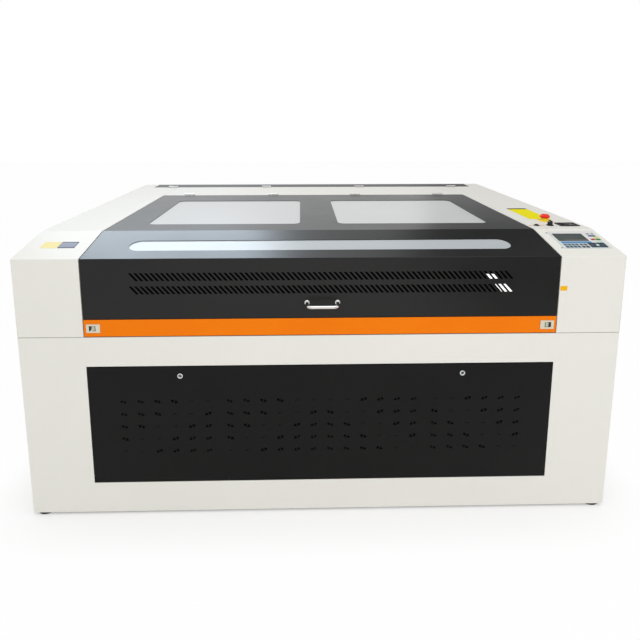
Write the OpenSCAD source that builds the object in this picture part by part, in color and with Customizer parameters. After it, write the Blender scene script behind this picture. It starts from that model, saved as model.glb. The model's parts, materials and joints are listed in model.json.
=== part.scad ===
// Flat-bed laser engraving machine: a two-part sheet-steel cabinet with a rear-hinged lid,
// a moving gantry with its cutting head, and a table that rises on four screws.
// Measured from the middle of the footprint: X to the right, Y to the back, Z up.

/* [Cabinet] */
// Width of the cabinet
body_w = 2150; // [2000:5:2400]
// Depth of the cabinet
body_d = 1562; // [1540:2:1700]
// Gap under the cabinet
foot_gap = 10; // [8:1:20]
// Height of the lower cabinet
lower_h = 690; // [690:1:720]
// Height from the seam to the fold at the front of the top
upper_h = 286; // [280:1:310]
// How far back the sloping part of the top runs
slope_run = 225; // [200:1:260]
// How much the sloping part of the top rises
slope_rise = 48; // [40:1:56]
// Visible seam between sheet parts
seam = 1; // [0.6:0.1:1.4]
// Thickness of the sheet steel
sheet = 2; // [1.5:0.1:2.4]
// Depth of the folded edges
flange = 28; // [20:1:32]
// Depth of the lip that hangs beside the lid
lip_h = 62; // [55:1:64]
// Width of the housing beside the lid
housing_w = 233; // [231:1:236]
// Depth of the fixed top behind the lid
rear_top_d = 321; // [318:1:326]

/* [Frame] */
// Side of the square frame tube
tube = 40; // [36:1:44]
// Wall of the frame tube
tube_wall = 2; // [1.5:0.5:4]
// Side of the tube that carries each rail
beam_tube = 40; // [36:1:44]
// Distance from the side of the cabinet to each rail
rail_side = 170; // [168:1:172]
// Height of each rail beam
rail_beam_h = 120; // [112:1:124]
// Width of the linear track
track_w = 15; // [12:1:18]
// Height of the linear track
track_h = 15; // [12:1:16]
// Diameter of a foot pad
foot_d = 70; // [50:1:80]
// Diameter of the threaded stud of a foot
foot_stud_d = 16; // [12:1:20]
// Thickness of a foot pad
foot_pad = 7; // [5:0.5:7.5]

/* [Lid] */
// Gap beside the lid
lid_gap = 2; // [1.5:0.1:3]
// Height of the strip between the seam and the lid
strip_h = 66; // [60:1:70]
// Thickness of the window panes
pane_t = 4; // [3:0.5:6]
// Overlap of a pane under the sheet
pane_lap = 15; // [10:1:20]
// Distance from the middle to the inner edge of a top window
window_in = 79; // [70:1:90]
// Distance from the side of the lid to a top window
window_side = 137; // [130:1:160]
// Distance from the back edge of the lid to a top window
window_back = 194; // [185:1:230]
// Distance from the front face to a top window
window_y = 342; // [325:1:352]
// Corner radius of a top window
window_r = 30; // [20:1:40]
// Distance from the side of the lid to the long window in the slope
slit_side = 143; // [125:1:190]
// Height of the long window, measured up the slope
slit_h = 81; // [70:1:90]
// Distance up the slope to the middle of the long window
slit_s = 101.5; // [92:0.5:110]
// Distance from the side of the lid to the vent slots
vent_side = 182; // [160:1:260]
// Spacing of the vent slots
vent_pitch = 18.3; // [17.5:0.1:20]
// Width of a vent slot
vent_w = 7; // [5:0.5:8]
// Height that a vent slot covers
vent_h = 29; // [26:1:34]
// Slope of a vent slot from the level
vent_lean = 49; // [46:1:58]
// Height of the upper vent row above the seam
vent_z = 220; // [214:1:226]
// Distance between the vent rows
vent_drop = 48; // [42:1:54]
// Span of the handle between its feet
handle_span = 108; // [96:1:120]
// How far the handle stands off the lid
handle_out = 46; // [40:1:54]
// Diameter of the handle bar
handle_d = 12; // [10:0.5:14]
// Height of the handle above the seam
handle_z = 123; // [115:1:131]
// Distance from the side of the lid to an outer hinge
hinge_side = 142; // [120:1:180]
// Distance from the middle to an inner hinge
hinge_in = 230; // [200:1:280]
// Width of a top hinge
hinge_w = 56; // [50:1:60]
// Length of one hinge leaf
hinge_leaf = 22; // [18:1:26]
// Thickness of a hinge leaf
hinge_t = 2; // [1.5:0.1:2.4]
// Radius of a hinge knuckle
hinge_r = 4; // [3.5:0.1:4.6]

/* [Struts] */
// Distance from the lid hinge forward to the strut's pin on the lid
strut_lever = 178; // [170:1:190]
// Depth of the strut's pin on the lid below the hinge line
strut_drop = 20; // [19:0.5:22]
// Distance from the lid hinge forward to the strut's pin on the cabinet
strut_back = 8; // [7:1:12]
// Depth of the strut's pin on the cabinet below the hinge line
strut_low = 62; // [58:1:63]
// Radius of the strut cylinder
strut_r = 9; // [8:0.5:10]
// Radius of the strut rod
strut_rod_r = 4; // [3.5:0.5:5]
// Radius of the strut pins
strut_pin_r = 4; // [3.5:0.5:4.5]
// Distance from the side of the lid to the middle of a strut
strut_side = 16; // [15.5:0.1:17]
// Radius of the rod's loose eye
strut_eye_r = 8; // [7.8:0.1:8.5]
// Length of the strut cylinder
strut_len = 118; // [110:1:124]

/* [Front] */
// Distance from the side of the cabinet to the lower door
door_side = 235; // [232:1:260]
// Distance from the seam down to the lower door
door_drop = 113; // [105:1:125]
// Height of the lower door above the cabinet's bottom edge
door_z = 122; // [112:1:132]
// Gap around a door
door_gap = 2.5; // [2:0.1:3]
// Depth of a door's folded edge
door_fold = 16; // [12:1:20]
// Spacing of the pattern's rows
cut_row = 49; // [46:1:52]
// Spacing of the pattern's columns
cut_col = 61; // [56:0.5:62]
// Extra gap before the pattern's outer groups
cut_group = 17; // [12:0.5:22]
// Side of the largest triangular cut
cut_side = 14; // [11:0.5:15]
// Width of the bar between the two cuts of a pair
cut_web = 4.6; // [3.6:0.1:6]
// Distance from the seam down to the pattern's middle row
cut_drop = 346; // [335:1:350]
// Diameter of a cam lock
lock_d = 20; // [18:0.5:24]
// Distance from the middle to a cam lock
lock_x = 510; // [480:1:540]
// Distance from the seam down to a cam lock
lock_drop = 148; // [144:1:152]
// Width of a latch plate
latch_w = 49; // [44:1:54]
// Height of a latch plate
latch_h = 32; // [30:1:38]
// Travel of a latch bolt
latch_travel = 8; // [6:1:9]

/* [Sides] */
// Distance from the back face to a side door
side_door_back = 402; // [360:2:440]
// Distance from the seam down to a side door
side_door_drop = 120; // [110:2:160]
// Distance from the front face to a side door
side_door_y = 400; // [360:5:440]
// Height of a side door above the cabinet's bottom edge
side_door_z = 130; // [120:1:140]
// Number of louvre slots in a side door
louvre_count = 14; // [10:1:16]
// Diameter of an exhaust outlet
exhaust_d = 150; // [120:1:160]
// Length of an exhaust outlet
exhaust_len = 60; // [50:1:80]
// Wall of an exhaust outlet
exhaust_wall = 1.5; // [1:0.1:2]
// Distance from the middle to an exhaust outlet
exhaust_x = 420; // [360:5:480]
// Height of an exhaust outlet above the floor
exhaust_z = 190; // [170:5:220]

/* [Controls] */
// Width of the control panel
panel_w = 176; // [164:1:180]
// Height of the control panel, measured up the slope
panel_h = 140; // [136:1:150]
// Thickness of the control panel
panel_t = 3; // [2:0.5:5]
// Distance from the side of the cabinet to the control panel's centre
panel_side = 106; // [100:1:112]
// Distance up the slope to the control panel's centre
panel_s = 128; // [122:1:132]
// Diameter of the stop button's head
stop_d = 40; // [36:1:44]
// Travel of the stop button
stop_travel = 5; // [4:0.5:6]
// Distance from the side of the cabinet to the stop button
stop_side = 114; // [104:1:124]
// Distance from the front face to the stop button
stop_y = 381; // [375:1:388]
// Diameter of the turning switch
switch_d = 20; // [18:1:24]
// Diameter of the push button
button_d = 14; // [12:1:16]
// Travel of the push button
button_travel = 3; // [2:0.5:4]

/* [Motion] */
// Height of the gantry beam
gantry_h = 80; // [70:1:84]
// Depth of the gantry beam
gantry_d = 60; // [50:1:64]
// Distance from the back edge of the lid to the parked gantry's middle
gantry_park = 36; // [32:1:46]
// Distance from a rail to the parked head
head_park = 145; // [140:1:165]
// Radius of the lens tube
lens_r = 13; // [11:0.5:15]
// Gap between the nozzle and the table
nozzle_gap = 12; // [8:1:16]
// Diameter of the drive shaft
shaft_d = 16; // [12:1:18]
// Radius of the toothed pulleys
pulley_r = 20; // [18:0.5:21]
// Thickness of the belts
belt_t = 1.6; // [1.2:0.1:2]
// Width of the belts
belt_w = 12; // [9:1:13]
// Diameter of a lift screw
screw_d = 16; // [14:1:18]
// Distance from the side of the cabinet to a lift screw
screw_side = 222; // [220:0.5:225]
// Distance from the table's front and back edges to the lift screws
screw_in = 60; // [50:1:80]
// Radius of a lift pulley
lift_pulley_r = 24; // [20:0.5:25]

/* [Table] */
// Distance from the side of the cabinet to the table
table_side = 255; // [250:1:265]
// Distance from the back edge of the lid forward to the table
table_back = 14; // [5:1:40]
// Distance from the front face to the table
table_y = 60; // [55:1:64]
// Height of the table's frame
table_h = 40; // [36:1:44]
// Width of the table's frame bars
table_bar = 30; // [26:1:34]
// Number of table blades
blade_count = 20; // [14:1:24]
// Thickness of a table blade
blade_t = 3; // [2:0.5:4]
// Height of a table blade
blade_h = 20; // [16:1:24]

/* [Laser] */
// Diameter of the laser tube
laser_d = 80; // [60:1:84]
// Gap from the ends of the laser tube to the ends of its compartment, taken together
laser_room = 330; // [325:5:400]
// Depth of the laser tube's compartment
bay_d = 127; // [125:1:130]
// Distance from the side of the cabinet to the black cover at the back
cover_side = 85; // [80:1:90]
// Height of the black cover's back wall
cover_h = 154; // [150:1:158]
// Height of the light path above the seam
ray_z = 239; // [236:1:242]

/* [Fits] */
// Gap between parts that are welded or screwed together
joint_gap = 0.2; // [0.1:0.05:0.3]
// Radial clearance of a running fit
run_gap = 0.05; // [0.02:0.01:0.1]
// Gap between moving and fixed faces
clear = 0.3; // [0.3:0.05:0.5]

/* [Hidden] */
$fn = 64;

lean = atan(slope_rise / slope_run);
half_w = body_w / 2;
wall_x = half_w - sheet;
wall_y = body_d - sheet;
seam_z = foot_gap + lower_h;
upper_z = seam_z + seam;
fold_z = seam_z + upper_h;
top_z = fold_z + slope_rise;
frame_z = foot_gap + sheet;
bay_y = body_d - bay_d;
tray_z = top_z - cover_h;
cover_half = half_w - cover_side;
front_y = -handle_out - handle_d / 2;
back_y = body_d + exhaust_len;
mid_y = (front_y + back_y) / 2;

lid_half = half_w - housing_w;
lid_back = bay_y - rear_top_d;
lid_edge = lid_half - lid_gap / 2;
lip_x = lid_half + lid_gap;
lid_end_y = lid_back - seam;
lid_fold = 22;
lid_foot = 20;
strip_top = seam_z + strip_h - seam;
lid_low_z = strip_top + 2 * seam;
window_w = lid_half - window_side - window_in;
window_d = lid_back - window_back - window_y;
slit_w = 2 * (lid_half - slit_side);
vent_count = 1 + 2 * floor((lid_half - vent_side) / vent_pitch);
hinge_z = top_z + hinge_r + clear;
lid_pin = [lid_back - strut_lever, hinge_z - strut_drop];
base_pin = [lid_back - strut_back, hinge_z - strut_low];
strut_x = lid_half - strut_side;
strut_span = norm(lid_pin - base_pin);
strut_tilt = atan2(lid_pin[1] - base_pin[1], lid_pin[0] - base_pin[0]);
eye_wall = 2.2;
piston_y = 54;
piston_h = 6;
gland_h = 8;
lid_hinge_out = lid_half - hinge_side;
lid_hinge_xs = [-lid_hinge_out, -hinge_in, hinge_in, lid_hinge_out];
cover_hinge_out = cover_half - 120;
cover_hinge_in = cover_hinge_out / 3;
cover_hinge_xs = [-cover_hinge_out, -cover_hinge_in, cover_hinge_in, cover_hinge_out];

door_w = body_w - 2 * door_side;
door_low = foot_gap + door_z;
door_top = seam_z - door_drop;
door_pivot = [7, 12];
door_pin_r = 3;
pin_len = 11;
pivot_eye = 12;
flap_pivot = [5, 12];
flap_pin_r = 2;
flap_pin_len = 8;
flap_low = upper_z + 2 * seam;
flap_depth = 12;
latch_x = lid_half - 34;
bolt_x = latch_x - 5.5;
bolt_z = seam_z + strip_h / 2 + seam / 2;
knob_w = 11;
knob_h = 17;
bolt_t = 4;
bolt_h = 12;
bolt_len = 40;
side_low = foot_gap + side_door_z;
side_top = seam_z - side_door_drop;
side_back_y = body_d - side_door_back;

rail_x = half_w - rail_side;
rail_top = upper_z + rail_beam_h;
track_top = rail_top + track_h;
shaft_y = bay_y - 55;
idler_y = 84;
track_start = idler_y + 24;
track_end = shaft_y - 40;
beam_ends = [60, bay_y - 15];
block_half = 35;
gantry_y = lid_back + gantry_park;
gantry_z = track_top + 30;
gantry_top = gantry_z + gantry_h;
gantry_half = rail_x + beam_tube / 2;
gantry_front = gantry_y - gantry_d / 2;
cross_low = gantry_z + 20;
cross_h = 12;
cross_t = 6;
ray = seam_z + ray_z;
ray_x = rail_x;
ray_hole_r = 10;
mirror_w = 40;
mirror_plate = 3;
head_x = rail_x - head_park;
head_y = gantry_front - 45;
head_half = 25;
carriage_half = 45;
carriage_t = 16;
drive_z = rail_top + 31;
mount_top = gantry_z - 2;
belt_x = rail_x + beam_tube / 2 + 5;
laser_y = body_d - bay_d / 2;
laser_x = -35;
laser_len = 2 * cover_half - laser_room;

table_w = body_w - 2 * table_side;
table_d = lid_back - table_back - table_y;
table_top = seam_z;
table_frame_z = table_top - blade_h - table_h;
screw_x = half_w - screw_side;
screw_ys = [table_y + screw_in, table_y + table_d - screw_in];
chip_x = table_w / 2 - 40;
chip_ys = [table_y + 120, table_y + table_d - 120];
chip_h = 100;
chip_bar_in = 150;
bearing_h = 30;
bearing_half = 26;
bracket_z = upper_z - 16;
bracket_t = 10;
bracket_half = 14;
lift_belt_z = frame_z + tube + bearing_h + 6;
screw_low = frame_z + tube + 2;
screw_top = bracket_z + bracket_t;

panel_x = half_w - panel_side;
stop_x = half_w - stop_side;
stop_r = stop_d / 2;
stem_r = 8;
stem_len = 12;
collar_h = 12;
collar_r = 15;
ring_r = 29;
ring_h = 4;
switch_x = half_w - 137;
switch_y = stop_y - 94;
button_x = switch_x - 55;
bezel_h = 4;
bezel_r = 14;
knob_base = 6;
knob_top = 17;
port_x = half_w - 61;
port_y = switch_y + 12;
port_size = [80, 60, 3];
label_t = 0.6;
warn_size = [90, 254];
warn_x = half_w - 117;
warn_y = stop_y + 159;
slope_label = [61, 50];
slope_label_x = half_w - 59;
slope_label_s = 110;
slope_label_gap = 2;
tag_size = [25, 17];
tag_x = lip_x + 15;
tag_z = seam_z + 168.5;

module placed() {
    translate([0, -mid_y, 0]) children();
}

module span(x, y, z) {
    translate([x[0], y[0], z[0]]) cube([x[1] - x[0], y[1] - y[0], z[1] - z[0]]);
}

module both_sides() {
    children();
    mirror([1, 0, 0]) children();
}

// A bar with a hollow along one axis: 0 for X, 1 for Y, 2 for Z
module tube_bar(x, y, z, along) {
    in = [for (i = [0:2]) i == along ? -1 : tube_wall];
    difference() {
        span(x, y, z);
        span([x[0] + in[0], x[1] - in[0]], [y[0] + in[1], y[1] - in[1]], [z[0] + in[2], z[1] - in[2]]);
    }
}

// An outline in Y and Z, drawn out along X
module along_x(x, outline) {
    translate([x[0], 0, 0]) rotate([90, 0, 90]) linear_extrude(height = x[1] - x[0]) polygon(outline);
}

// An outline in X and Z, drawn out along Y
module along_y(y, outline) {
    translate([0, y[1], 0]) rotate([90, 0, 0]) linear_extrude(height = y[1] - y[0]) polygon(outline);
}

module rod_x(x, y, z, r) {
    translate([x[0], y, z]) rotate([0, 90, 0]) cylinder(h = x[1] - x[0], r = r);
}

module rod_y(x, y, z, r) {
    translate([x, y[0], z]) rotate([-90, 0, 0]) cylinder(h = y[1] - y[0], r = r);
}

module rod_z(x, y, z, r) {
    translate([x, y, z[0]]) cylinder(h = z[1] - z[0], r = r);
}

module rounded_block(size, r) {
    x = size[0] / 2 - r;
    y = size[1] / 2 - r;
    linear_extrude(height = size[2], center = true) union() {
        square([size[0], 2 * y], center = true);
        square([2 * x, size[1]], center = true);
        for (i = [-1, 1], j = [-1, 1]) translate([i * x, j * y]) circle(r = r);
    }
}

module on_slope(x, s) {
    translate([x, s * cos(lean), fold_z + s * sin(lean)]) rotate([lean, 0, 0]) children();
}

// Points where the sheet folds, at a depth d under its outer face
function fold_point(d) = [d, fold_z + d * tan(lean) - d / cos(lean)];
function crease_point(d) = [slope_run + d * tan(lean / 2), top_z - d];

module base_frame() {
    inner = wall_x - tube - joint_gap;
    rear = wall_y - tube;
    color("gray") placed() {
        for (z = [frame_z, upper_z - tube]) {
            tube_bar([-wall_x, wall_x], [sheet, sheet + tube], [z, z + tube], 0);
            tube_bar([-wall_x, wall_x], [rear, wall_y], [z, z + tube], 0);
            both_sides()
                tube_bar([wall_x - tube, wall_x], [sheet + tube + joint_gap, rear - joint_gap], [z, z + tube], 1);
        }
        both_sides() {
            posts = [frame_z + tube + joint_gap, upper_z - tube - joint_gap];
            for (y = [sheet, rear]) tube_bar([wall_x - tube, wall_x], [y, y + tube], posts, 2);
            tube_bar([door_w / 2 + tube, door_w / 2 + 2 * tube], [sheet, sheet + tube], posts, 2);
            tube_bar([rail_x - tube / 2, rail_x + tube / 2], [sheet + tube + joint_gap, rear - joint_gap],
                [upper_z - tube, upper_z], 1);
        }
        for (y = concat(screw_ys, [chip_ys[0] + chip_bar_in, chip_ys[1] - chip_bar_in]))
            tube_bar([-inner, inner], [y - tube / 2, y + tube / 2], [frame_z, frame_z + tube], 0);
    }
}

module level_feet() {
    x = wall_x - foot_d / 2;
    ys = [sheet + foot_d / 2, body_d / 2, wall_y - foot_d / 2];
    color("black") placed() both_sides() for (y = ys) {
        rod_z(x, y, [0, foot_pad], foot_d / 2);
        rod_z(x, y, [foot_pad, foot_gap], foot_stud_d / 2);
    }
}

module floor_pan() {
    color("gainsboro") placed() span([-wall_x, wall_x], [sheet, wall_y], [foot_gap, frame_z]);
}

module lower_front_panel() {
    x = door_w / 2 + door_gap;
    color("whitesmoke") placed() difference() {
        span([-half_w, half_w], [0, sheet], [foot_gap, seam_z]);
        span([-x, x], [-1, sheet + 1], [door_low - door_gap, door_top + door_gap]);
    }
}

module lower_side() {
    difference() {
        span([wall_x, half_w], [sheet, wall_y], [foot_gap, seam_z]);
        span([wall_x - 1, half_w + 1], [side_door_y - door_gap, side_back_y + door_gap],
            [side_low - door_gap, side_top + door_gap]);
    }
}

module lower_left_panel() {
    color("whitesmoke") placed() mirror([1, 0, 0]) lower_side();
}

module lower_right_panel() {
    color("whitesmoke") placed() lower_side();
}

module lower_rear_panel() {
    slots = 9;
    pitch = 24;
    slot_h = 10;
    slot_half = exhaust_x - 250;
    low = exhaust_z - 130;
    color("whitesmoke") placed() difference() {
        span([-half_w, half_w], [wall_y, body_d], [foot_gap, seam_z]);
        for (x = [-exhaust_x, exhaust_x])
            rod_y(x, [wall_y - 1, body_d + 1], exhaust_z, exhaust_d / 2 - exhaust_wall);
        for (i = [0:slots - 1])
            span([-slot_half, slot_half], [wall_y - 1, body_d + 1], [low + i * pitch, low + i * pitch + slot_h]);
    }
}

module housing() {
    skin = [[0, upper_z], [0, fold_z], crease_point(0), [wall_y, top_z], [wall_y, top_z - sheet],
        crease_point(sheet), fold_point(sheet), [sheet, upper_z]];
    lip = [[sheet, upper_z], fold_point(sheet), crease_point(sheet), [lid_end_y, top_z - sheet],
        [lid_end_y, top_z - lip_h - flange / 2], [flange, top_z - lip_h - flange / 2], [flange, upper_z]];
    difference() {
        union() {
            along_x([lip_x, wall_x], skin);
            along_x([lip_x, lip_x + sheet], lip);
            span([lip_x, wall_x], [sheet, flange], [upper_z, upper_z + sheet]);
        }
        span([0, cover_half + clear], [bay_y, body_d], [top_z - flange, top_z + 1]);
        rod_x([lip_x - 1, lip_x + sheet + 1], flap_pivot[0], flap_low + flap_pivot[1], flap_pin_r + run_gap);
        span([lip_x - 1, lip_x + sheet + 1], [sheet + 0.1, 2 * bolt_t + sheet],
            [bolt_z - knob_h / 2 + 1, bolt_z + knob_h / 2 - 1]);
    }
}

module left_housing() {
    color("whitesmoke") placed() mirror([1, 0, 0]) housing();
}

module right_housing() {
    color("whitesmoke") placed() difference() {
        housing();
        rod_z(stop_x, stop_y, [top_z - flange, top_z + 1], stem_r + 2);
        rod_z(switch_x, switch_y, [top_z - flange, top_z + 1], switch_d / 2 - 2);
        rod_z(button_x, switch_y, [top_z - flange, top_z + 1], button_d / 2 - 1);
    }
}

module side_skins() {
    slots = 16;
    pitch = 20;
    slot_w = 8;
    start = body_d / 2 - slots * pitch / 2;
    z = [upper_z + 90, upper_z + 170];
    color("whitesmoke") placed() both_sides() difference() {
        along_x([wall_x, half_w], [[0, upper_z], [0, fold_z], crease_point(0), [body_d, top_z], [body_d, upper_z]]);
        for (i = [0:slots - 1])
            span([wall_x - 1, half_w + 1], [start + i * pitch, start + i * pitch + slot_w], z);
    }
}

module rear_crossbar() {
    x = lip_x - joint_gap;
    y = lid_back + seam;
    fold = 48;
    low = top_z - fold;
    color("whitesmoke") placed() along_x([-x, x], [[y, top_z], [bay_y, top_z], [bay_y, top_z - sheet],
        [y + sheet, top_z - sheet], [y + sheet, low], [y, low]]);
}

module upper_rear_panel() {
    ledge = tray_z + sheet;
    x = cover_half + clear;
    color("whitesmoke") placed() along_y([wall_y, body_d], [[-wall_x, upper_z], [wall_x, upper_z],
        [wall_x, top_z], [x, top_z], [x, ledge], [-x, ledge], [-x, top_z], [-wall_x, top_z]]);
}

module tube_tray() {
    x = cover_half + clear + sheet;
    wall_zs = [tray_z + sheet + joint_gap, top_z - sheet];
    color("gray") placed() {
        span([-x, x], [bay_y - sheet, wall_y], [tray_z, tray_z + sheet]);
        difference() {
            span([-x, x], [bay_y - sheet, bay_y], wall_zs);
            rod_y(-ray_x, [bay_y - sheet - 1, bay_y + 1], ray, ray_hole_r);
        }
        both_sides() span([x - sheet, x], [bay_y + joint_gap, wall_y], wall_zs);
    }
}

module laser_tube() {
    r = laser_d / 2;
    x = [laser_x - laser_len / 2, laser_x + laser_len / 2];
    cap = 45;
    color("lightcyan") placed() {
        rod_x([x[0] + cap, x[1] - cap], laser_y, ray, r);
        rod_x(x, laser_y, ray, r / 2);
    }
}

module tube_mounts() {
    seat = laser_d / 2;
    rim = 10;
    half = 15;
    span_x = 520;
    color("dimgray") placed() {
        for (x = [laser_x - span_x, laser_x + span_x]) difference() {
            span([x - half, x + half], [laser_y - seat - rim, laser_y + seat + rim],
                [tray_z + sheet, ray + seat + rim]);
            rod_x([x - half - 1, x + half + 1], laser_y, ray, seat + joint_gap);
        }
        mirror_block(laser_y, [tray_z + sheet, ray + mirror_w / 2], -1);
    }
}

// A block on the light path; the corner on the right, in front (-1) or behind (1), is cut away for the mirror
module mirror_block(y, z, corner) {
    half = mirror_w / 2;
    difference() {
        span([-ray_x - half, -ray_x + half], [y - half, y + half], z);
        translate([-ray_x + half, y + corner * half, ray]) rotate([0, 0, corner * 45])
            cube([mirror_w * sqrt(2), 2 * mirror_w, mirror_w - 2 * mirror_plate], center = true);
    }
}

module rail_beams() {
    color("silver") placed() both_sides() {
        tube_bar([rail_x - beam_tube / 2, rail_x + beam_tube / 2], beam_ends, [upper_z, rail_top], 1);
        span([rail_x - track_w / 2, rail_x + track_w / 2], [track_start, track_end],
            [rail_top + joint_gap, track_top]);
    }
}

module shaft_block(y, half) {
    x = [rail_x - beam_tube / 2, rail_x + beam_tube / 2];
    difference() {
        span(x, [y - half, y + half], [rail_top, mount_top]);
        rod_x([x[0] - 1, x[1] + 1], y, drive_z, shaft_d / 2 + run_gap);
    }
}

module drive_mounts() {
    bore = screw_d / 2 + run_gap;
    motor_x = [rail_x + 60, rail_x + 140];
    motor_half = 28;
    lift_motor = [80, 60, 90];
    floor_top = frame_z + tube;
    color("dimgray") placed() {
        both_sides() {
            shaft_block(shaft_y, 24);
            shaft_block(idler_y, 20);
            for (y = screw_ys) {
                difference() {
                    span([screw_x - bearing_half, screw_x + bearing_half], [y - bearing_half, y + bearing_half],
                        [floor_top, floor_top + bearing_h]);
                    rod_z(screw_x, y, [screw_low, floor_top + tube], bore);
                }
                difference() {
                    span([screw_x - bracket_half, rail_x - tube / 2], [y - bracket_half, y + bracket_half],
                        [bracket_z, bracket_z + bracket_t]);
                    rod_z(screw_x, y, [bracket_z - 1, upper_z], bore);
                }
            }
        }
        span(motor_x, [shaft_y - motor_half, shaft_y + motor_half], [upper_z, drive_z + motor_half]);
        translate([-lift_motor[0] / 2, screw_ys[0] - tube / 2, floor_top]) cube(lift_motor);
    }
}

// A flat loop around two wheels of radius r, a span apart along X
module belt_loop(reach, r) {
    linear_extrude(height = belt_w) difference() {
        stadium(reach, r + belt_t);
        stadium(reach, r);
    }
}

module stadium(reach, r) {
    circle(r = r);
    translate([reach, 0]) circle(r = r);
    translate([0, -r]) square([reach, 2 * r]);
}

module drive_belts() {
    r = lift_pulley_r + clear;
    size = [2 * (screw_x + r), screw_ys[1] - screw_ys[0] + 2 * r, belt_w];
    outer = [size[0] + 2 * belt_t, size[1] + 2 * belt_t, belt_w];
    color("black") placed() {
        both_sides() translate([belt_x, idler_y, drive_z]) rotate([90, 0, 90])
            belt_loop(shaft_y - idler_y, pulley_r + clear);
        translate([0, (screw_ys[0] + screw_ys[1]) / 2, lift_belt_z + belt_w / 2]) difference() {
            rounded_block(outer, r + belt_t);
            rounded_block([size[0], size[1], belt_w + 1], r);
        }
    }
}

module rear_baffle() {
    x = rail_x - beam_tube / 2 - joint_gap;
    y = body_d - 112;
    slots = 20;
    slot_half = 25;
    slot_h = 14;
    end = 60;
    color("gray") placed() difference() {
        span([-x, x], [y, y + sheet], [upper_z, rail_top]);
        for (i = [0:slots - 1], z = [upper_z + 30, upper_z + 70]) {
            at = -x + end + i * 2 * (x - end) / (slots - 1);
            span([at - slot_half, at + slot_half], [y - 1, y + sheet + 1], [z, z + slot_h]);
        }
    }
}

module chip_tray() {
    z = frame_z + tube;
    color("silver") placed() difference() {
        span([-chip_x, chip_x], chip_ys, [z, z + chip_h]);
        span([sheet - chip_x, chip_x - sheet], [chip_ys[0] + sheet, chip_ys[1] - sheet], [z + sheet, z + chip_h + 1]);
    }
}

// Supply boxes behind the side doors, each with its side, its start and end along Y, and its height
module electronics() {
    near = wall_x - 53;
    far = wall_x - 168;
    boxes = [[1, 20, 300, 188], [1, 460, 600, 248], [-1, 20, 370, 268]];
    color("silver") placed() for (box = boxes)
        span([min(box[0] * far, box[0] * near), max(box[0] * far, box[0] * near)],
            [side_door_y + box[1], side_door_y + box[2]], [frame_z, frame_z + box[3]]);
}

module control_panel() {
    corner = 6;
    color("silver") placed() on_slope(panel_x, panel_s) translate([0, 0, panel_t / 2])
        rounded_block([panel_w, panel_h, panel_t], corner);
}

module panel_display() {
    edge = 12;
    key = 13;
    key_t = 1;
    screen = [112, 72];
    side_keys = 5;
    side_key = [21, 12];
    side_pitch = 17;
    low_keys = 6;
    low_pitch = 19;
    pad_r = 17;
    left = edge - panel_w / 2;
    right = panel_w / 2 - edge;
    top = panel_h / 2 - edge;
    low = edge - panel_h / 2;
    side_top_y = top - 2;
    color("darkslategray") placed() on_slope(panel_x, panel_s) translate([0, 0, panel_t]) {
        span([left, left + screen[0]], [top - screen[1], top], [0, key_t]);
        for (i = [0:side_keys - 1])
            span([right - side_key[0] - 1, right - 1], [side_top_y - side_key[1] - i * side_pitch,
                side_top_y - i * side_pitch], [0, key_t]);
        for (i = [0:low_keys - 1])
            span([left + i * low_pitch, left + i * low_pitch + key], [low, low + key], [0, key_t]);
        rod_z(right - pad_r + 3, low + pad_r - 3, [0, key_t], pad_r);
    }
}

module stop_collar() {
    color("gold") placed() difference() {
        union() {
            rod_z(stop_x, stop_y, [top_z, top_z + ring_h], ring_r);
            rod_z(stop_x, stop_y, [top_z, top_z + collar_h], collar_r);
        }
        rod_z(stop_x, stop_y, [top_z - 1, top_z + collar_h + 1], stem_r + run_gap);
    }
}

module stop_button() {
    low = top_z + collar_h + stop_travel + 1;
    rim = 4;
    rise = 5;
    head_h = 14;
    color("red") placed() {
        rod_z(stop_x, stop_y, [top_z - stem_len, low + 1], stem_r);
        translate([stop_x, stop_y, low]) rotate_extrude() polygon([[0, 0], [stop_r - rim, 0], [stop_r, rise],
            [stop_r, head_h - rise - 1], [stop_r - rim / 2, head_h - rim + 1], [stop_r - 2 * rim, head_h - 1],
            [0, head_h]]);
    }
}

// A ring around a switch, standing on the top
module bezel(x, r, bore) {
    difference() {
        rod_z(x, switch_y, [top_z, top_z + bezel_h], r);
        rod_z(x, switch_y, [top_z - 1, top_z + bezel_h + 1], bore + run_gap);
    }
}

module switch_bezels() {
    color("black") placed() {
        bezel(switch_x, bezel_r, switch_d / 2 - 3);
        bezel(button_x, bezel_r - 2, button_d / 2 - 2);
        translate([port_x - port_size[0] / 2, port_y - port_size[1] / 2, top_z]) cube(port_size);
    }
}

module key_knob() {
    low = top_z + bezel_h + clear;
    grip = switch_d / 2 - 1;
    grip_t = 3;
    color("dimgray") placed() {
        rod_z(switch_x, switch_y, [top_z - stem_len, low + 1], switch_d / 2 - 3);
        rod_z(switch_x, switch_y, [low, low + knob_base], switch_d / 2);
        span([switch_x - grip_t, switch_x + grip_t], [switch_y - grip, switch_y + grip],
            [low + knob_base - 1, low + knob_top]);
    }
}

module push_button() {
    low = top_z + bezel_h + button_travel + clear;
    cap_h = 3;
    color("black") placed() {
        rod_z(button_x, switch_y, [top_z - stem_len + 2, low + 1], button_d / 2 - 2);
        rod_z(button_x, switch_y, [low, low + cap_h], button_d / 2);
    }
}

module label_plates() {
    color("gold") placed() {
        span([warn_x - warn_size[0] / 2, warn_x + warn_size[0] / 2], [warn_y - warn_size[1] / 2,
            warn_y + warn_size[1] / 2], [top_z, top_z + label_t]);
        for (i = [0, 1])
            on_slope(i * (slope_label[0] + slope_label_gap) - slope_label_x, slope_label_s)
                span([0, slope_label[0]], [-slope_label[1] / 2, slope_label[1] / 2], [0, label_t]);
        span([tag_x - tag_size[0] / 2, tag_x + tag_size[0] / 2], [-label_t, 0],
            [tag_z - tag_size[1] / 2, tag_z + tag_size[1] / 2]);
    }
}

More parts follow.
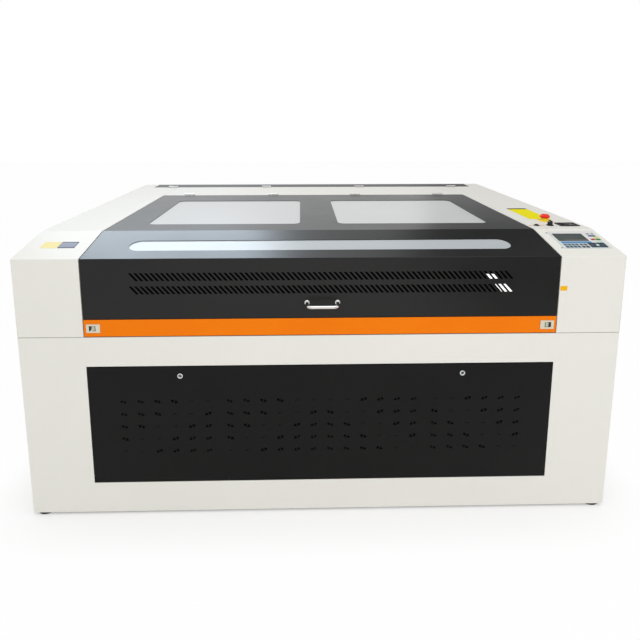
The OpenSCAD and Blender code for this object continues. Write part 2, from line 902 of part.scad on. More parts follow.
module rear_fittings() {
    r = exhaust_d / 2;
    rim = 15;
    inlet = [60, 12, 50];
    inlet_x = half_w - 385;
    inlet_z = exhaust_z - 110;
    barbs = 3;
    barb_r = 6;
    barb_len = 30;
    barb_pitch = 45;
    barb_z = exhaust_z - 20;
    color("silver") placed() {
        for (x = [-exhaust_x, exhaust_x]) difference() {
            union() {
                rod_y(x, [body_d, back_y], exhaust_z, r);
                rod_y(x, [body_d, body_d + sheet], exhaust_z, r + rim);
            }
            rod_y(x, [body_d - 1, back_y + 1], exhaust_z, r - exhaust_wall);
        }
        for (i = [0:barbs - 1])
            rod_y(inlet_x + i * barb_pitch, [body_d, body_d + barb_len], barb_z, barb_r);
        translate([inlet_x, body_d, inlet_z]) cube(inlet);
    }
}

// The fixed half of a top hinge: a leaf, its middle knuckle and the pin
module fixed_leaf(x, line_y) {
    third = hinge_w / 3;
    span([x - hinge_w / 2, x + hinge_w / 2], [line_y + hinge_r + clear, line_y + hinge_leaf], [top_z, top_z + hinge_t]);
    span([x - third / 2 + clear, x + third / 2 - clear], [line_y + 1, line_y + hinge_leaf], [top_z, top_z + hinge_t]);
    rod_x([x - third / 2 + clear, x + third / 2 - clear], line_y, hinge_z, hinge_r);
    rod_x([x - hinge_w / 2, x + hinge_w / 2], line_y, hinge_z, hinge_r / 2 - run_gap);
}

// The moving half: a leaf on the side that side_y points to and the two outer knuckles
module moving_leaf(x, line_y, side_y) {
    third = hinge_w / 3;
    near = line_y + side_y * (hinge_r + clear);
    far = line_y + side_y * hinge_leaf;
    inner = line_y + side_y;
    difference() {
        union() {
            span([x - hinge_w / 2, x + hinge_w / 2], [min(near, far), max(near, far)], [top_z, top_z + hinge_t]);
            for (i = [-1, 1]) {
                middle = x + i * third;
                span([middle - third / 2, middle + third / 2], [min(inner, far), max(inner, far)],
                    [top_z, top_z + hinge_t]);
                rod_x([middle - third / 2, middle + third / 2], line_y, hinge_z, hinge_r);
            }
        }
        rod_x([x - hinge_w / 2 - 1, x + hinge_w / 2 + 1], line_y, hinge_z, hinge_r / 2);
    }
}

module pivot_block(x, y, z, at, r) {
    difference() {
        span(x, y, z);
        rod_x([x[0] - 1, x[1] + 1], at[0], at[1], r);
    }
}

module hinge_brackets() {
    door_at = [door_pivot[0], door_low + door_pivot[1]];
    plate_x = half_w - door_pivot[0];
    plate_y = side_back_y - door_pivot[1];
    eye = pivot_eye;
    side = door_w / 2 + door_gap + 1;
    color("silver") placed() {
        for (x = lid_hinge_xs) fixed_leaf(x, lid_back);
        for (x = cover_hinge_xs) fixed_leaf_front(x, bay_y);
        both_sides() {
            rod_x([strut_x - strut_r - 2, lip_x], base_pin[0], base_pin[1], strut_pin_r);
            pivot_block([side, side + eye], [sheet, 2 * eye],
                [door_at[1] - eye, door_at[1] + eye], door_at, door_pin_r + run_gap);
            for (z = [side_low - door_gap - eye - 1, side_top + door_gap + 1]) difference() {
                span([wall_x - 2 * eye, wall_x], [plate_y - eye, plate_y + eye], [z, z + eye]);
                rod_z(plate_x, plate_y, [z - 1, z + eye + 1], door_pin_r + run_gap);
            }
        }
    }
}

// The rear cover's hinges have their fixed leaf in front of the hinge line
module fixed_leaf_front(x, line_y) {
    translate([0, 2 * line_y, 0]) mirror([0, 1, 0]) fixed_leaf(x, line_y);
}

module slit_opening(grow, depth) {
    on_slope(0, slit_s) translate([0, 0, depth[0] + (depth[1] - depth[0]) / 2])
        rounded_block([slit_w + 2 * grow, slit_h + 2 * grow, depth[1] - depth[0]], slit_h / 2 + grow - 0.1);
}

module top_opening(grow, zs) {
    for (i = [-1, 1])
        translate([i * (window_in + window_w / 2), window_y + window_d / 2, (zs[0] + zs[1]) / 2])
            rounded_block([window_w + 2 * grow, window_d + 2 * grow, zs[1] - zs[0]], window_r + grow);
}

module lid_top() {
    drop = flange;
    skin = [[0, fold_z], crease_point(0), [lid_end_y, top_z], [lid_end_y, top_z - lid_fold],
        [lid_end_y - sheet, top_z - lid_fold], [lid_end_y - sheet, top_z - sheet], crease_point(sheet),
        fold_point(sheet), [0, fold_point(sheet)[1]]];
    edge = [fold_point(sheet), crease_point(sheet), [lid_end_y - sheet, top_z - sheet],
        [lid_end_y - sheet, top_z - drop], crease_point(drop), fold_point(drop), [sheet, fold_point(drop)[1]]];
    color("dimgray") placed() {
        difference() {
            along_x([-lid_edge, lid_edge], skin);
            slit_opening(0, [-2 * sheet, sheet]);
            top_opening(0, [top_z - 2 * sheet, top_z + 1]);
        }
        both_sides() {
            along_x([lid_edge - sheet, lid_edge], edge);
            rod_x([strut_x - strut_side / 2, lid_edge - sheet], lid_pin[0], lid_pin[1], strut_pin_r);
        }
    }
}

module vent_row(z) {
    half = vent_h / 2;
    shift = half / tan(vent_lean);
    across = vent_w / sin(vent_lean) / 2;
    start = -vent_pitch * (vent_count - 1) / 2;
    for (i = [0:vent_count - 1])
        translate([start + i * vent_pitch, 0, z]) along_y([-1, sheet + 1], [[-shift - across, half],
            [shift - across, -half], [shift + across, -half], [across - shift, half]]);
}

module lid_front() {
    top = fold_point(sheet)[1];
    color("black") placed() difference() {
        union() {
            span([-lid_edge, lid_edge], [0, sheet], [lid_low_z, top]);
            span([-lid_edge, lid_edge], [0, lid_foot], [lid_low_z, lid_low_z + sheet]);
        }
        vent_row(seam_z + vent_z);
        vent_row(seam_z + vent_z - vent_drop);
    }
}

module lid_windows() {
    pane_top = top_z - sheet - joint_gap;
    color("lightsteelblue", 0.6) placed() {
        slit_opening(pane_lap / 2, [-sheet - joint_gap - pane_t, -sheet - joint_gap]);
        top_opening(pane_lap, [pane_top - pane_t, pane_top]);
    }
}

module lid_fittings() {
    z = seam_z + handle_z;
    rosette_r = handle_d / 2 + 4;
    rosette_t = 3;
    color("silver") placed() {
        for (x = lid_hinge_xs) moving_leaf(x, lid_back, -1);
        for (i = [-1, 1]) {
            rod_y(i * handle_span / 2, [-handle_out, 0], z, handle_d / 2);
            rod_y(i * handle_span / 2, [-rosette_t, 0], z, rosette_r);
        }
        rod_x([-handle_span / 2 - handle_d / 2, handle_span / 2 + handle_d / 2], -handle_out, z, handle_d / 2);
    }
}

// A strut lies in a plane of its own, from the cabinet's pin towards the lid's pin
module strut_frame() {
    translate([strut_x, base_pin[0], base_pin[1]]) rotate([strut_tilt, 0, 0]) children();
}

module strut_cylinder() {
    eye_w = 6;
    wall = 2;
    strut_frame() difference() {
        union() {
            rod_x([-eye_w, eye_w], 0, 0, strut_r + 0.5);
            rod_y(0, [0, strut_len], 0, strut_r);
        }
        rod_x([-strut_r - 1, strut_r + 1], 0, 0, strut_pin_r + run_gap);
        rod_y(0, [strut_r + eye_w, strut_len - gland_h], 0, strut_r - wall);
        rod_y(0, [strut_len - gland_h - 1, strut_len + 1], 0, strut_rod_r + run_gap);
    }
}

module strut_rod() {
    eye_w = 5;
    wall = 2;
    strut_frame() difference() {
        union() {
            rod_y(0, [piston_y, strut_span - strut_eye_r], 0, strut_rod_r);
            rod_y(0, [piston_y, piston_y + piston_h], 0, strut_r - wall - run_gap);
            rod_x([-eye_w, eye_w], strut_span, 0, strut_eye_r + eye_wall);
        }
        rod_x([-eye_w - 1, eye_w + 1], strut_span, 0, strut_eye_r);
    }
}

module strut_cylinder_left() {
    color("black") placed() mirror([1, 0, 0]) strut_cylinder();
}

module strut_cylinder_right() {
    color("black") placed() strut_cylinder();
}

module strut_rod_left() {
    color("silver") placed() mirror([1, 0, 0]) strut_rod();
}

module strut_rod_right() {
    color("silver") placed() strut_rod();
}

module rear_cover() {
    x = cover_half - clear;
    color("black") placed() {
        span([-x, x], [bay_y + seam, body_d], [top_z - sheet, top_z]);
        span([-x, x], [wall_y, body_d], [tray_z + sheet + seam, top_z - sheet - joint_gap]);
    }
}

module rear_cover_leaves() {
    color("silver") placed() for (x = cover_hinge_xs) moving_leaf(x, bay_y, 1);
}

module latch_cut(grow, y) {
    room = 1;
    span([bolt_x - 3 * room - grow, bolt_x + knob_w + latch_travel + room + grow], y,
        [bolt_z - knob_h / 2 - room - grow, bolt_z + knob_h / 2 + room + grow]);
}

module front_flap() {
    pivot_z = flap_low + flap_pivot[1];
    color("darkorange") placed() {
        difference() {
            span([-lid_edge, lid_edge], [0, sheet], [flap_low, strip_top]);
            both_sides() latch_cut(1, [-1, sheet + 1]);
        }
        both_sides() {
            span([lid_edge - sheet, lid_edge], [sheet, flap_depth], [flap_low, flap_low + 2 * flap_pivot[1]]);
            rod_x([lid_edge - sheet, lid_edge + flap_pin_len], flap_pivot[0], pivot_z, flap_pin_r);
        }
    }
}

module latch_plates() {
    color("linen") placed() both_sides() difference() {
        span([latch_x - latch_w / 2, latch_x + latch_w / 2], [-sheet, 0], [bolt_z - latch_h / 2, bolt_z + latch_h / 2]);
        latch_cut(0, [-sheet - 1, 1]);
    }
}

module latch_bolt() {
    back = sheet + clear;
    span([bolt_x, bolt_x + knob_w], [-1, back + 1], [bolt_z - knob_h / 2, bolt_z + knob_h / 2]);
    span([lid_edge - sheet - bolt_len, lid_edge - 1], [back, back + bolt_t],
        [bolt_z - bolt_h / 2, bolt_z + bolt_h / 2]);
}

module latch_bolt_left() {
    color("dimgray") placed() mirror([1, 0, 0]) latch_bolt();
}

module latch_bolt_right() {
    color("dimgray") placed() latch_bolt();
}

// A pair of triangular cuts; turn is 1 with the left one pointing down, -1 with it pointing up
module cut_couple(size, turn) {
    r = size / sqrt(3);
    apart = size / 2 + cut_web / sin(60);
    for (i = [-1, 1])
        translate([i * apart / 2, -i * turn * r / 4]) rotate(i * turn * 90) circle(r = r, $fn = 3);
}

// Six columns by five rows, with the small cuts along the falling diagonal
module cut_group_pattern(flip) {
    small_share = 0.4;
    full_share = 1.06;
    step_share = 0.06;
    for (row = [0:4], col = [0:5]) {
        far = col - (4 - row);
        small = far == 0 || far == 1;
        steps = far < 0 ? -far : far - 1;
        size = cut_side * (small ? small_share : full_share - step_share * steps);
        turn = small ? -flip : far < 1 ? 1 : -1;
        translate([(col - 2.5) * cut_col, flip * (2 - row) * cut_row]) cut_couple(size, turn);
    }
}

module front_door() {
    x = door_w / 2;
    pivot_z = door_low + door_pivot[1];
    first = 3 * cut_col;
    group = 6 * cut_col + cut_group;
    color("black") placed() difference() {
        union() {
            span([-x, x], [0, sheet], [door_low, door_top]);
            difference() {
                span([-x, x], [0, door_fold], [door_low, door_top]);
                span([sheet - x, x - sheet], [-1, door_fold + 1], [door_low + sheet, door_top - sheet]);
            }
            both_sides() rod_x([x - sheet, x + pin_len], door_pivot[0], pivot_z, door_pin_r);
        }
        translate([0, sheet + 1, seam_z - cut_drop]) rotate([90, 0, 0]) linear_extrude(height = sheet + 2)
            for (i = [-1, 1], j = [0, 1]) translate([i * (first + j * group), 0]) cut_group_pattern(-i);
        both_sides() rod_y(lock_x, [-1, sheet + 1], seam_z - lock_drop, lock_d / 2 - 2 + run_gap);
    }
}

module door_lock() {
    z = seam_z - lock_drop;
    deep = door_fold + clear;
    head_t = 4;
    slot_half = 5;
    cam = [8, 48, 3];
    difference() {
        union() {
            rod_y(lock_x, [-head_t, -clear / 2], z, lock_d / 2);
            rod_y(lock_x, [-1, deep + 2], z, lock_d / 2 - 2);
            span([lock_x - cam[0], lock_x + cam[1]], [deep, deep + cam[2]], [z - cam[0], z + cam[0]]);
        }
        span([lock_x - 1, lock_x + 1], [-head_t - 1, 2 - head_t], [z - slot_half, z + slot_half]);
    }
}

module door_lock_left() {
    color("silver") placed() translate([-2 * lock_x, 0, 0]) door_lock();
}

module door_lock_right() {
    color("silver") placed() door_lock();
}

module side_door() {
    pivot_x = half_w - door_pivot[0];
    pivot_y = side_back_y - door_pivot[1];
    pitch = 20;
    slot_w = 8;
    slot_len = 220;
    slot_gap = 80;
    finger_r = 12;
    finger_y = side_door_y + 30;
    middle = (side_door_y + side_back_y) / 2;
    z = (side_low + side_top) / 2;
    difference() {
        union() {
            span([wall_x, half_w], [side_door_y, side_back_y], [side_low, side_top]);
            difference() {
                span([half_w - door_fold, half_w], [side_door_y, side_back_y], [side_low, side_top]);
                span([half_w - door_fold - 1, half_w + 1], [side_door_y + sheet, side_back_y - sheet],
                    [side_low + sheet, side_top - sheet]);
            }
            for (end = [[side_low - pin_len, side_low + sheet], [side_top - sheet, side_top + pin_len]])
                rod_z(pivot_x, pivot_y, end, door_pin_r);
        }
        for (i = [0:louvre_count - 1], y = [middle - slot_gap / 2 - slot_len, middle + slot_gap / 2]) {
            low = z + (i - louvre_count / 2) * pitch;
            span([wall_x - 1, half_w + 1], [y, y + slot_len], [low, low + slot_w]);
        }
        rod_x([wall_x - 1, half_w + 1], finger_y, z, finger_r);
    }
}

module left_door() {
    color("whitesmoke") placed() mirror([1, 0, 0]) side_door();
}

module right_door() {
    color("whitesmoke") placed() side_door();
}

module gantry_beam() {
    y = [gantry_front, gantry_front + gantry_d];
    seat = track_w / 2 + clear;
    motor = [75, 42, 42];
    cross_half = rail_x - 95;
    half = mirror_w / 2;
    color("silver") placed() {
        difference() {
            tube_bar([-gantry_half, gantry_half], y, [gantry_z, gantry_top], 0);
            rod_y(-ray_x, [y[0] - 1, y[1] + 1], ray, ray_hole_r);
        }
        both_sides() difference() {
            span([rail_x - beam_tube / 2, rail_x + beam_tube / 2], [gantry_y - block_half, gantry_y + block_half],
                [rail_top + 4, gantry_z]);
            span([rail_x - seat, rail_x + seat], [gantry_y - block_half - 1, gantry_y + block_half + 1],
                [rail_top, track_top + clear]);
        }
        mirror_block(head_y, [ray - half, ray + half], 1);
        span([-ray_x - half, -ray_x + half], [head_y - half, gantry_front], [ray - half - 2 * mirror_plate, ray - half]);
        translate([gantry_half - motor[0], gantry_front - motor[1], gantry_z]) cube(motor);
        span([-cross_half, cross_half], [gantry_front - cross_t, gantry_front], [cross_low, cross_low + cross_h]);
    }
}

module carriage() {
    x = [head_x - carriage_half, head_x + carriage_half];
    color("dimgray") placed() difference() {
        span(x, [gantry_front - carriage_t, gantry_front - clear], [gantry_z - 10, gantry_top]);
        span([x[0] - 1, x[1] + 1], [gantry_front - cross_t - clear, gantry_front + 1],
            [cross_low - clear, cross_low + cross_h + clear]);
    }
}

module laser_head() {
    tip = table_top + nozzle_gap;
    low = ray - head_half;
    cone_h = 41;
    tip_r = 3;
    ray_bore = 9;
    bar_h = 30;
    color("silver") placed() {
        difference() {
            span([head_x - head_half, head_x + head_half], [head_y - head_half, head_y + head_half],
                [low, ray + head_half]);
            rod_x([head_x - head_half - 1, head_x], head_y, ray, ray_bore);
        }
        rod_z(head_x, head_y, [tip + cone_h - 1, low + 1], lens_r);
        translate([head_x, head_y, tip]) cylinder(h = cone_h, r1 = tip_r, r2 = lens_r - 2);
        span([head_x - head_half + 5, head_x + head_half - 5], [head_y, gantry_front - carriage_t], [low - bar_h, low]);
    }
}

module drive_shaft() {
    x = belt_x + belt_w;
    color("silver") placed() translate([0, shaft_y, drive_z]) {
        rod_x([-x, x], 0, 0, shaft_d / 2);
        both_sides() rod_x([belt_x, x], 0, 0, pulley_r);
    }
}

module idler_pulleys() {
    x = belt_x + belt_w;
    color("silver") placed() translate([0, idler_y, drive_z]) both_sides() {
        rod_x([rail_x - beam_tube / 2 - 2, x], 0, 0, shaft_d / 2);
        rod_x([belt_x, x], 0, 0, pulley_r);
    }
}

module table() {
    x = table_w / 2;
    y = [table_y, table_y + table_d];
    z = [table_frame_z, table_frame_z + table_h];
    pitch = (table_w - 2 * table_bar) / (blade_count + 1);
    ear = [14, 16, 10];
    end = 5;
    color("silver") placed() {
        for (at = [y[0], y[1] - table_bar])
            span([-x, x], [at, at + table_bar], z);
        both_sides() {
            span([x - table_bar, x], [y[0] + table_bar + joint_gap, y[1] - table_bar - joint_gap], z);
            for (at = screw_ys) difference() {
                span([x + joint_gap, screw_x + ear[0]], [at - ear[1], at + ear[1]], [z[0], z[0] + ear[2]]);
                rod_z(screw_x, at, [z[0] - 1, z[0] + ear[2] + 1], screw_d / 2 + run_gap);
            }
        }
        for (i = [1:blade_count])
            span([-x + table_bar + i * pitch - blade_t / 2, -x + table_bar + i * pitch + blade_t / 2],
                [y[0] + end, y[1] - end], [z[1] + joint_gap, table_top]);
    }
}

module lift_screw(side, y) {
    color("silver") placed() {
        rod_z(side * screw_x, y, [screw_low, screw_top], screw_d / 2);
        rod_z(side * screw_x, y, [lift_belt_z - 2, lift_belt_z + belt_w + 2], lift_pulley_r);
    }
}

module lift_screw_1() {
    lift_screw(-1, screw_ys[0]);
}

module lift_screw_2() {
    lift_screw(1, screw_ys[0]);
}

module lift_screw_3() {
    lift_screw(-1, screw_ys[1]);
}

module lift_screw_4() {
    lift_screw(1, screw_ys[1]);
}

base_frame();
level_feet();
floor_pan();
lower_front_panel();
lower_left_panel();
lower_right_panel();
lower_rear_panel();
left_housing();
right_housing();
side_skins();
rear_crossbar();
upper_rear_panel();
tube_tray();
laser_tube();
tube_mounts();
rail_beams();
drive_mounts();
drive_belts();
rear_baffle();
chip_tray();
electronics();
control_panel();
panel_display();
stop_collar();
switch_bezels();
label_plates();
rear_fittings();
hinge_brackets();
lid_top();
lid_front();
lid_windows();
lid_fittings();
strut_cylinder_left();
strut_cylinder_right();
strut_rod_left();
strut_rod_right();
rear_cover();
rear_cover_leaves();
front_flap();
latch_plates();
latch_bolt_left();
latch_bolt_right();
front_door();
door_lock_left();
door_lock_right();
left_door();
right_door();
gantry_beam();
carriage();
laser_head();
drive_shaft();
idler_pulleys();
table();
lift_screw_1();
lift_screw_2();
lift_screw_3();
lift_screw_4();
stop_button();
key_knob();
push_button();
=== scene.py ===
import json
import math
import bmesh
import bpy
import numpy as np
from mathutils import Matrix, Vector

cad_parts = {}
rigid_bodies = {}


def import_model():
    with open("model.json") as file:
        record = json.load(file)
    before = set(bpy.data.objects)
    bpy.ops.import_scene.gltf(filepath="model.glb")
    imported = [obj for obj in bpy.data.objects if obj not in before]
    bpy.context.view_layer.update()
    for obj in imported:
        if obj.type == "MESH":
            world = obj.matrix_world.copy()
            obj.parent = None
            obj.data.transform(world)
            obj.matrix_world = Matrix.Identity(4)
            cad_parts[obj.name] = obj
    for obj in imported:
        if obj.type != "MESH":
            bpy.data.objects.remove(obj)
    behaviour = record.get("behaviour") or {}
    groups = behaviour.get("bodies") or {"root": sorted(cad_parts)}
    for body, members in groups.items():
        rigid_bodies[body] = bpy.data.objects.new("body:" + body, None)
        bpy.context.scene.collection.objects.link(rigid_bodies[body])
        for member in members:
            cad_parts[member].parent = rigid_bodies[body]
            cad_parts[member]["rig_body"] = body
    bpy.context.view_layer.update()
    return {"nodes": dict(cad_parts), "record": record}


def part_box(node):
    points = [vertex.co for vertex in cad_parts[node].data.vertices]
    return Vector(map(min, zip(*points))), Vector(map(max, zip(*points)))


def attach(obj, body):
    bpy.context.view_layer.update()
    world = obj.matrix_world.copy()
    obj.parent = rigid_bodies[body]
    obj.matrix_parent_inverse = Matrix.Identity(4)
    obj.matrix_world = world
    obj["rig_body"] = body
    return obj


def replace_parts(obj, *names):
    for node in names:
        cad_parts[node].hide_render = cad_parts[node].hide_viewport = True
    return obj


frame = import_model()
print("stage: frame loaded")

# Planes that the pieces are set out on, in metres
cabinet = {
    "topZ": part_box("side_skins")[1].z,
    "slopeRun": 0.225,
    "slopeRise": 0.048,
    "frontY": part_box("lower_front_panel")[0].y,
    "backY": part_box("lower_rear_panel")[1].y,
    "halfWidth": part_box("side_skins")[1].x,
}
lean = math.atan2(cabinet["slopeRise"], cabinet["slopeRun"])
foldZ = cabinet["topZ"] - cabinet["slopeRise"]
halfW, topZ, backY, frontY = cabinet["halfWidth"], cabinet["topZ"], cabinet["backY"], cabinet["frontY"]
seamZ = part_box("lower_front_panel")[1].z

# Each face of the cabinet: a corner of its plane, then its right, up and outward directions
sides = {
    "top": ((0, 0, topZ), (1, 0, 0), (0, 1, 0), (0, 0, 1)),
    "slope": ((0, frontY, foldZ), (1, 0, 0), (0, math.cos(lean), math.sin(lean)),
              (0, -math.sin(lean), math.cos(lean))),
    "front": ((0, frontY, 0), (1, 0, 0), (0, 0, 1), (0, -1, 0)),
    "back": ((0, backY, 0), (-1, 0, 0), (0, 0, 1), (0, 1, 0)),
    "right": ((halfW, 0, 0), (0, 1, 0), (0, 0, 1), (1, 0, 0)),
    "left": ((-halfW, 0, 0), (0, -1, 0), (0, 0, 1), (-1, 0, 0)),
    "ground": ((0, 0, 0), (1, 0, 0), (0, 1, 0), (0, 0, 1)),
    "across": ((0, 0, 0), (0, 1, 0), (0, 0, 1), (1, 0, 0)),
}


# Middle of a node's box: half of the lowest and highest corners added
def middle(node):
    low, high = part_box(node)
    return (low + high) / 2


# Camera in metres, degrees and millimetres, then the light of the sky and the floor's white and shadow
view = {
    "place": (-0.0732, -2.4873, 1.4735),
    "pitch": 81.115,
    "yaw": -1.2535,
    "lens": 28.4,
    "film": 36,
    "shift": (0.01224, -0.19532),
    "farthest": 60,
    "skyLight": 0.66,
    "floorHalf": 14,
    "floorPaper": 0.93,
    "floorShare": 0.965,
    "shadowReach": 0.22,
}


# New object in the scene: its name and its data
def newObject(name, data):
    thing = bpy.data.objects.new(name, data)
    bpy.context.scene.collection.objects.link(thing)
    return thing


# Camera: at its place, turned by the pitch about x, then by the yaw about z
def makeCamera():
    camera = newObject("camera", bpy.data.cameras.new("camera"))
    camera.location = view["place"]
    camera.rotation_euler = (math.radians(view["pitch"]), 0, math.radians(view["yaw"]))
    camera.data.sensor_width = view["film"]
    camera.data.lens = view["lens"]
    camera.data.shift_x, camera.data.shift_y = view["shift"]
    camera.data.dof.use_dof = False
    camera.data.clip_end = view["farthest"]
    bpy.context.scene.camera = camera


# New node: each value goes to the node's own setting of that name, else to its socket
def addNode(tree, kind, **values):
    node = tree.nodes.new(kind)
    for name, value in values.items():
        if hasattr(node, name):
            setattr(node, name, value)
        else:
            node.inputs[name.replace("_", " ")].default_value = value
    return node


# Links: each from the first node's output to the second node's input
def join(tree, *links):
    for first, output, second, entry in links:
        tree.links.new(first.outputs[output], second.inputs[entry])


# Empty material: its name, and a tree without nodes
def startMaterial(name):
    material = bpy.data.materials.new(name)
    material.use_nodes = True
    material.node_tree.nodes.clear()
    return material, material.node_tree


# Share of rays that see the backdrop: the greatest of the kinds' own shares, 1 for a ray of that kind, else 0
def backdropShare(tree, kinds):
    path = addNode(tree, "ShaderNodeLightPath")
    share = (path, kinds[0])
    for kind in kinds[1:]:
        both = addNode(tree, "ShaderNodeMath", operation="MAXIMUM")
        join(tree, (*share, both, 0), (path, kind, both, 1))
        share = (both, 0)
    return share


# World: share x white backdrop + (1 - share) x light of the sky
def makeWorld():
    world = bpy.data.worlds.new("studio")
    world.use_nodes = True
    tree = world.node_tree
    tree.nodes.clear()
    light = addNode(tree, "ShaderNodeBackground", Color=(1, 1, 1, 1), Strength=view["skyLight"])
    backdrop = addNode(tree, "ShaderNodeBackground", Color=(1, 1, 1, 1), Strength=1.0)
    mix = addNode(tree, "ShaderNodeMixShader")
    out = addNode(tree, "ShaderNodeOutputWorld")
    share = backdropShare(tree, ("Is Camera Ray", "Is Glossy Ray", "Is Transmission Ray"))
    join(tree, (*share, mix, 0), (light, 0, mix, 1), (backdrop, 0, mix, 2), (mix, 0, out, 0))
    bpy.context.scene.world = world


# The window is only mirrored in glossy paint, and the front lamp only lights
lamps = {
    "above": {"place": (0.5, -0.8, 4.2), "aim": (0.1, 0, 0.9), "size": 4.0, "power": 50, "tint": (1, 1, 1)},
    "front": {"place": (0.6, -5.0, 1.9), "aim": (0, 0, 0.5), "size": 3.4, "power": 62,
              "tint": (1, 0.985, 0.95), "mirrored": False},
    "window": {"place": (-1.7, 2.6, 4.0), "aim": (-0.4, -0.7, 1.0), "size": 2.7, "power": 140,
               "tint": (0.86, 1.0, 1.14), "lights": False},
}

# Dark cards, seen only in mirror reflections: middle, half width, half height and their upward direction
cardShade = 0.02
cards = {
    "cardBack": {"middle": (5.4, 4.2, 4.3), "half": (3.8, 2.4), "up": (0, 0, 1)},
    "cardFront": {"middle": (2.9, -3.9, 0.03), "half": (1.7, 1.5), "up": (0, 1, 0)},
}


# Lamps: each square one looks along aim - place
def makeLamps():
    for name, lamp in lamps.items():
        data = bpy.data.lights.new(name, "AREA")
        data.shape = "SQUARE"
        data.size = lamp["size"]
        data.energy = lamp["power"]
        data.color = lamp["tint"]
        thing = newObject(name, data)
        thing.location = lamp["place"]
        aim = Vector(lamp["aim"]) - Vector(lamp["place"])
        thing.rotation_euler = aim.to_track_quat("-Z", "Y").to_euler()
        thing.visible_diffuse = lamp.get("lights", True)
        thing.visible_glossy = lamp.get("mirrored", True)


# Flat sheet: middle + u x right + v x up, for u and v of -half and +half
def flatSheet(name, centre, half, up):
    signs = np.array([(-1, -1), (1, -1), (1, 1), (-1, 1)])
    right, up = np.array((1, 0, 0)), np.array(up)
    points = np.array(centre) + signs[:, :1] * half[0] * right + signs[:, 1:] * half[1] * up
    mesh = bpy.data.meshes.new(name)
    mesh.from_pydata(points.tolist(), [], [(0, 1, 2, 3)])
    sheet = newObject(name, mesh)
    return sheet


# Cards: flat sheets of the same dark grey, kept from every ray but a mirrored one
def makeCards():
    material, tree = startMaterial("darkCard")
    shader = addNode(tree, "ShaderNodeBsdfDiffuse", Color=(cardShade, cardShade, cardShade, 1))
    out = addNode(tree, "ShaderNodeOutputMaterial")
    join(tree, (shader, 0, out, 0))
    for name, card in cards.items():
        sheet = flatSheet(name, card["middle"], card["half"], card["up"])
        sheet.data.materials.append(material)
        sheet.visible_camera = False
        sheet.visible_diffuse = False
        sheet.visible_shadow = False
        sheet.visible_transmission = False


# Paper floor: white to the camera, less so where the cabinet shuts it in, and plain paper to other rays
def makeFloor():
    floor = flatSheet("floor", (0, 0, 0), (view["floorHalf"], view["floorHalf"]), (0, 1, 0))
    material, tree = startMaterial("floorPaper")
    paper = addNode(tree, "ShaderNodeBsdfDiffuse", Color=(*[view["floorPaper"]] * 3, 1))
    glow = addNode(tree, "ShaderNodeEmission", Color=(1, 1, 1, 1), Strength=1.0)
    openness = addNode(tree, "ShaderNodeAmbientOcclusion", Distance=view["shadowReach"])
    share = addNode(tree, "ShaderNodeMath", operation="MULTIPLY")
    scale = addNode(tree, "ShaderNodeMath", operation="MULTIPLY")
    scale.inputs[1].default_value = view["floorShare"]
    mix = addNode(tree, "ShaderNodeMixShader")
    out = addNode(tree, "ShaderNodeOutputMaterial")
    seen = backdropShare(tree, ("Is Camera Ray",))
    join(tree, (*seen, scale, 0), (scale, 0, share, 0), (openness, "AO", share, 1), (share, 0, mix, 0),
         (paper, 0, mix, 1), (glow, 0, mix, 2), (mix, 0, out, 0))
    floor.data.materials.append(material)


makeCamera()
makeWorld()
makeLamps()
makeCards()
makeFloor()
bpy.context.scene.view_settings.view_transform = "Standard"
print("stage: camera, light and floor")


looks = {}

